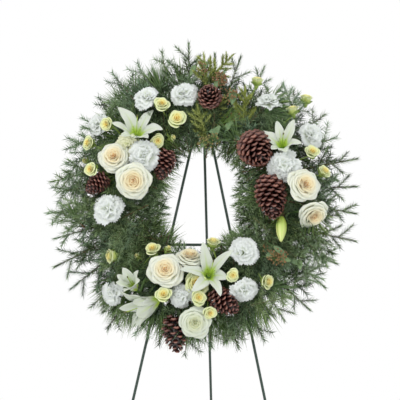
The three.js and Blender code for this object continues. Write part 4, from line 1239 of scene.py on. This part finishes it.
def foamFinish():
    finish = Finish("soaked_foam", Roughness=0.95)
    grain = finish.noise(900.0, 3.0)
    finish.feed("Base Color", finish.mix(grain, (0.025, 0.085, 0.022), (0.06, 0.16, 0.05)))
    finish.feed("Roughness", grain * 0.1 + 0.85)
    finish.bump(grain, 0.7, 0.001)
    return finish.material


def trayFinish():
    finish = Finish("tray_plastic", Roughness=0.5)
    flow = finish.noise(45.0, 2.0)
    finish.feed("Base Color", finish.mix(flow, (0.018, 0.05, 0.024), (0.03, 0.075, 0.036)))
    finish.feed("Roughness", flow * 0.2 + 0.4)
    finish.bump(finish.noise(700.0), 0.2, 0.0003)
    return finish.material


def tieFinish():
    finish = Finish("tie_wire_lacquer", Roughness=0.45, Metallic=0.6)
    finish.feed("Base Color", finish.mix(finish.noise(300.0), (0.04, 0.07, 0.04), (0.09, 0.12, 0.08)))
    finish.feed("Roughness", finish.noise(150.0) * 0.3 + 0.3)
    return finish.material


def dress(names, material):
    for name in names:
        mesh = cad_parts[name].data
        mesh.materials.clear()
        mesh.materials.append(material)


dress(["front_leg_left", "front_leg_right", "rest_prong_left", "rest_prong_right", "pivot_bar", "crossbar",
       "back_leg"], enamelFinish())
dress(["foam_ring"], foamFinish())
dress(["ring_tray"], trayFinish())
dress(["hanging_wire"], tieFinish())
print("easel and ring dressed")

# stage, light and camera
studio = {"floorRadius": 1.15, "azimuth": 4.6, "distance": 3.5, "frameWidth": 1.0}


def makeFloor():
    turn = np.linspace(0, 2 * np.pi, 96, endpoint=False)
    points = np.stack([np.cos(turn), np.sin(turn), 0 * turn], -1) * studio["floorRadius"]
    mesh = bpy.data.meshes.new("floor")
    mesh.from_pydata(points.tolist(), [], [list(range(96))])
    floor = bpy.data.objects.new("floor", mesh)
    bpy.context.collection.objects.link(floor)
    paint = Finish("floor_paint", Base_Color=(0.86, 0.86, 0.85, 1.0), Roughness=0.7)
    mesh.materials.append(paint.material)


def makeLight(name, place, target, size, power, colour):
    light = bpy.data.lights.new(name, "AREA")
    light.shape = "DISK"
    light.size = size
    light.energy = power
    light.color = colour
    lamp = bpy.data.objects.new(name, light)
    bpy.context.collection.objects.link(lamp)
    lamp.location = place
    aim(lamp, np.array(target) - np.array(place))


def aim(thing, direction):
    thing.rotation_euler = Vector(direction).to_track_quat("-Z", "Y").to_euler()


def makeStudio():
    makeFloor()
    centre = toWorld([[-0.0005, 0, 0.035]])[0]
    makeLight("key", centre + [-1.6, -2.6, 2.0], centre, 1.6, 26, (1.0, 0.98, 0.95))
    makeLight("fill", centre + [2.2, -2.2, 0.6], centre, 1.8, 9, (0.97, 0.98, 1.0))
    world = bpy.data.worlds.new("studio")
    world.use_nodes = True
    world.node_tree.nodes["Background"].inputs[0].default_value = (1.0, 1.0, 1.0, 1.0)
    world.node_tree.nodes["Background"].inputs[1].default_value = 1.0
    bpy.context.scene.world = world
    bpy.context.scene.view_settings.view_transform = "Standard"
    camera = bpy.data.cameras.new("camera")
    camera.sensor_width = 36.0
    camera.lens = 36.0 * studio["distance"] / studio["frameWidth"]
    camera.clip_end = 50.0
    eye = bpy.data.objects.new("camera", camera)
    bpy.context.collection.objects.link(eye)
    turn = math.radians(studio["azimuth"])
    eye.location = centre + np.array([math.sin(turn), -math.cos(turn), 0.0]) * studio["distance"]
    aim(eye, centre - np.array(eye.location))
    bpy.context.scene.camera = eye


makeStudio()
print("studio made")
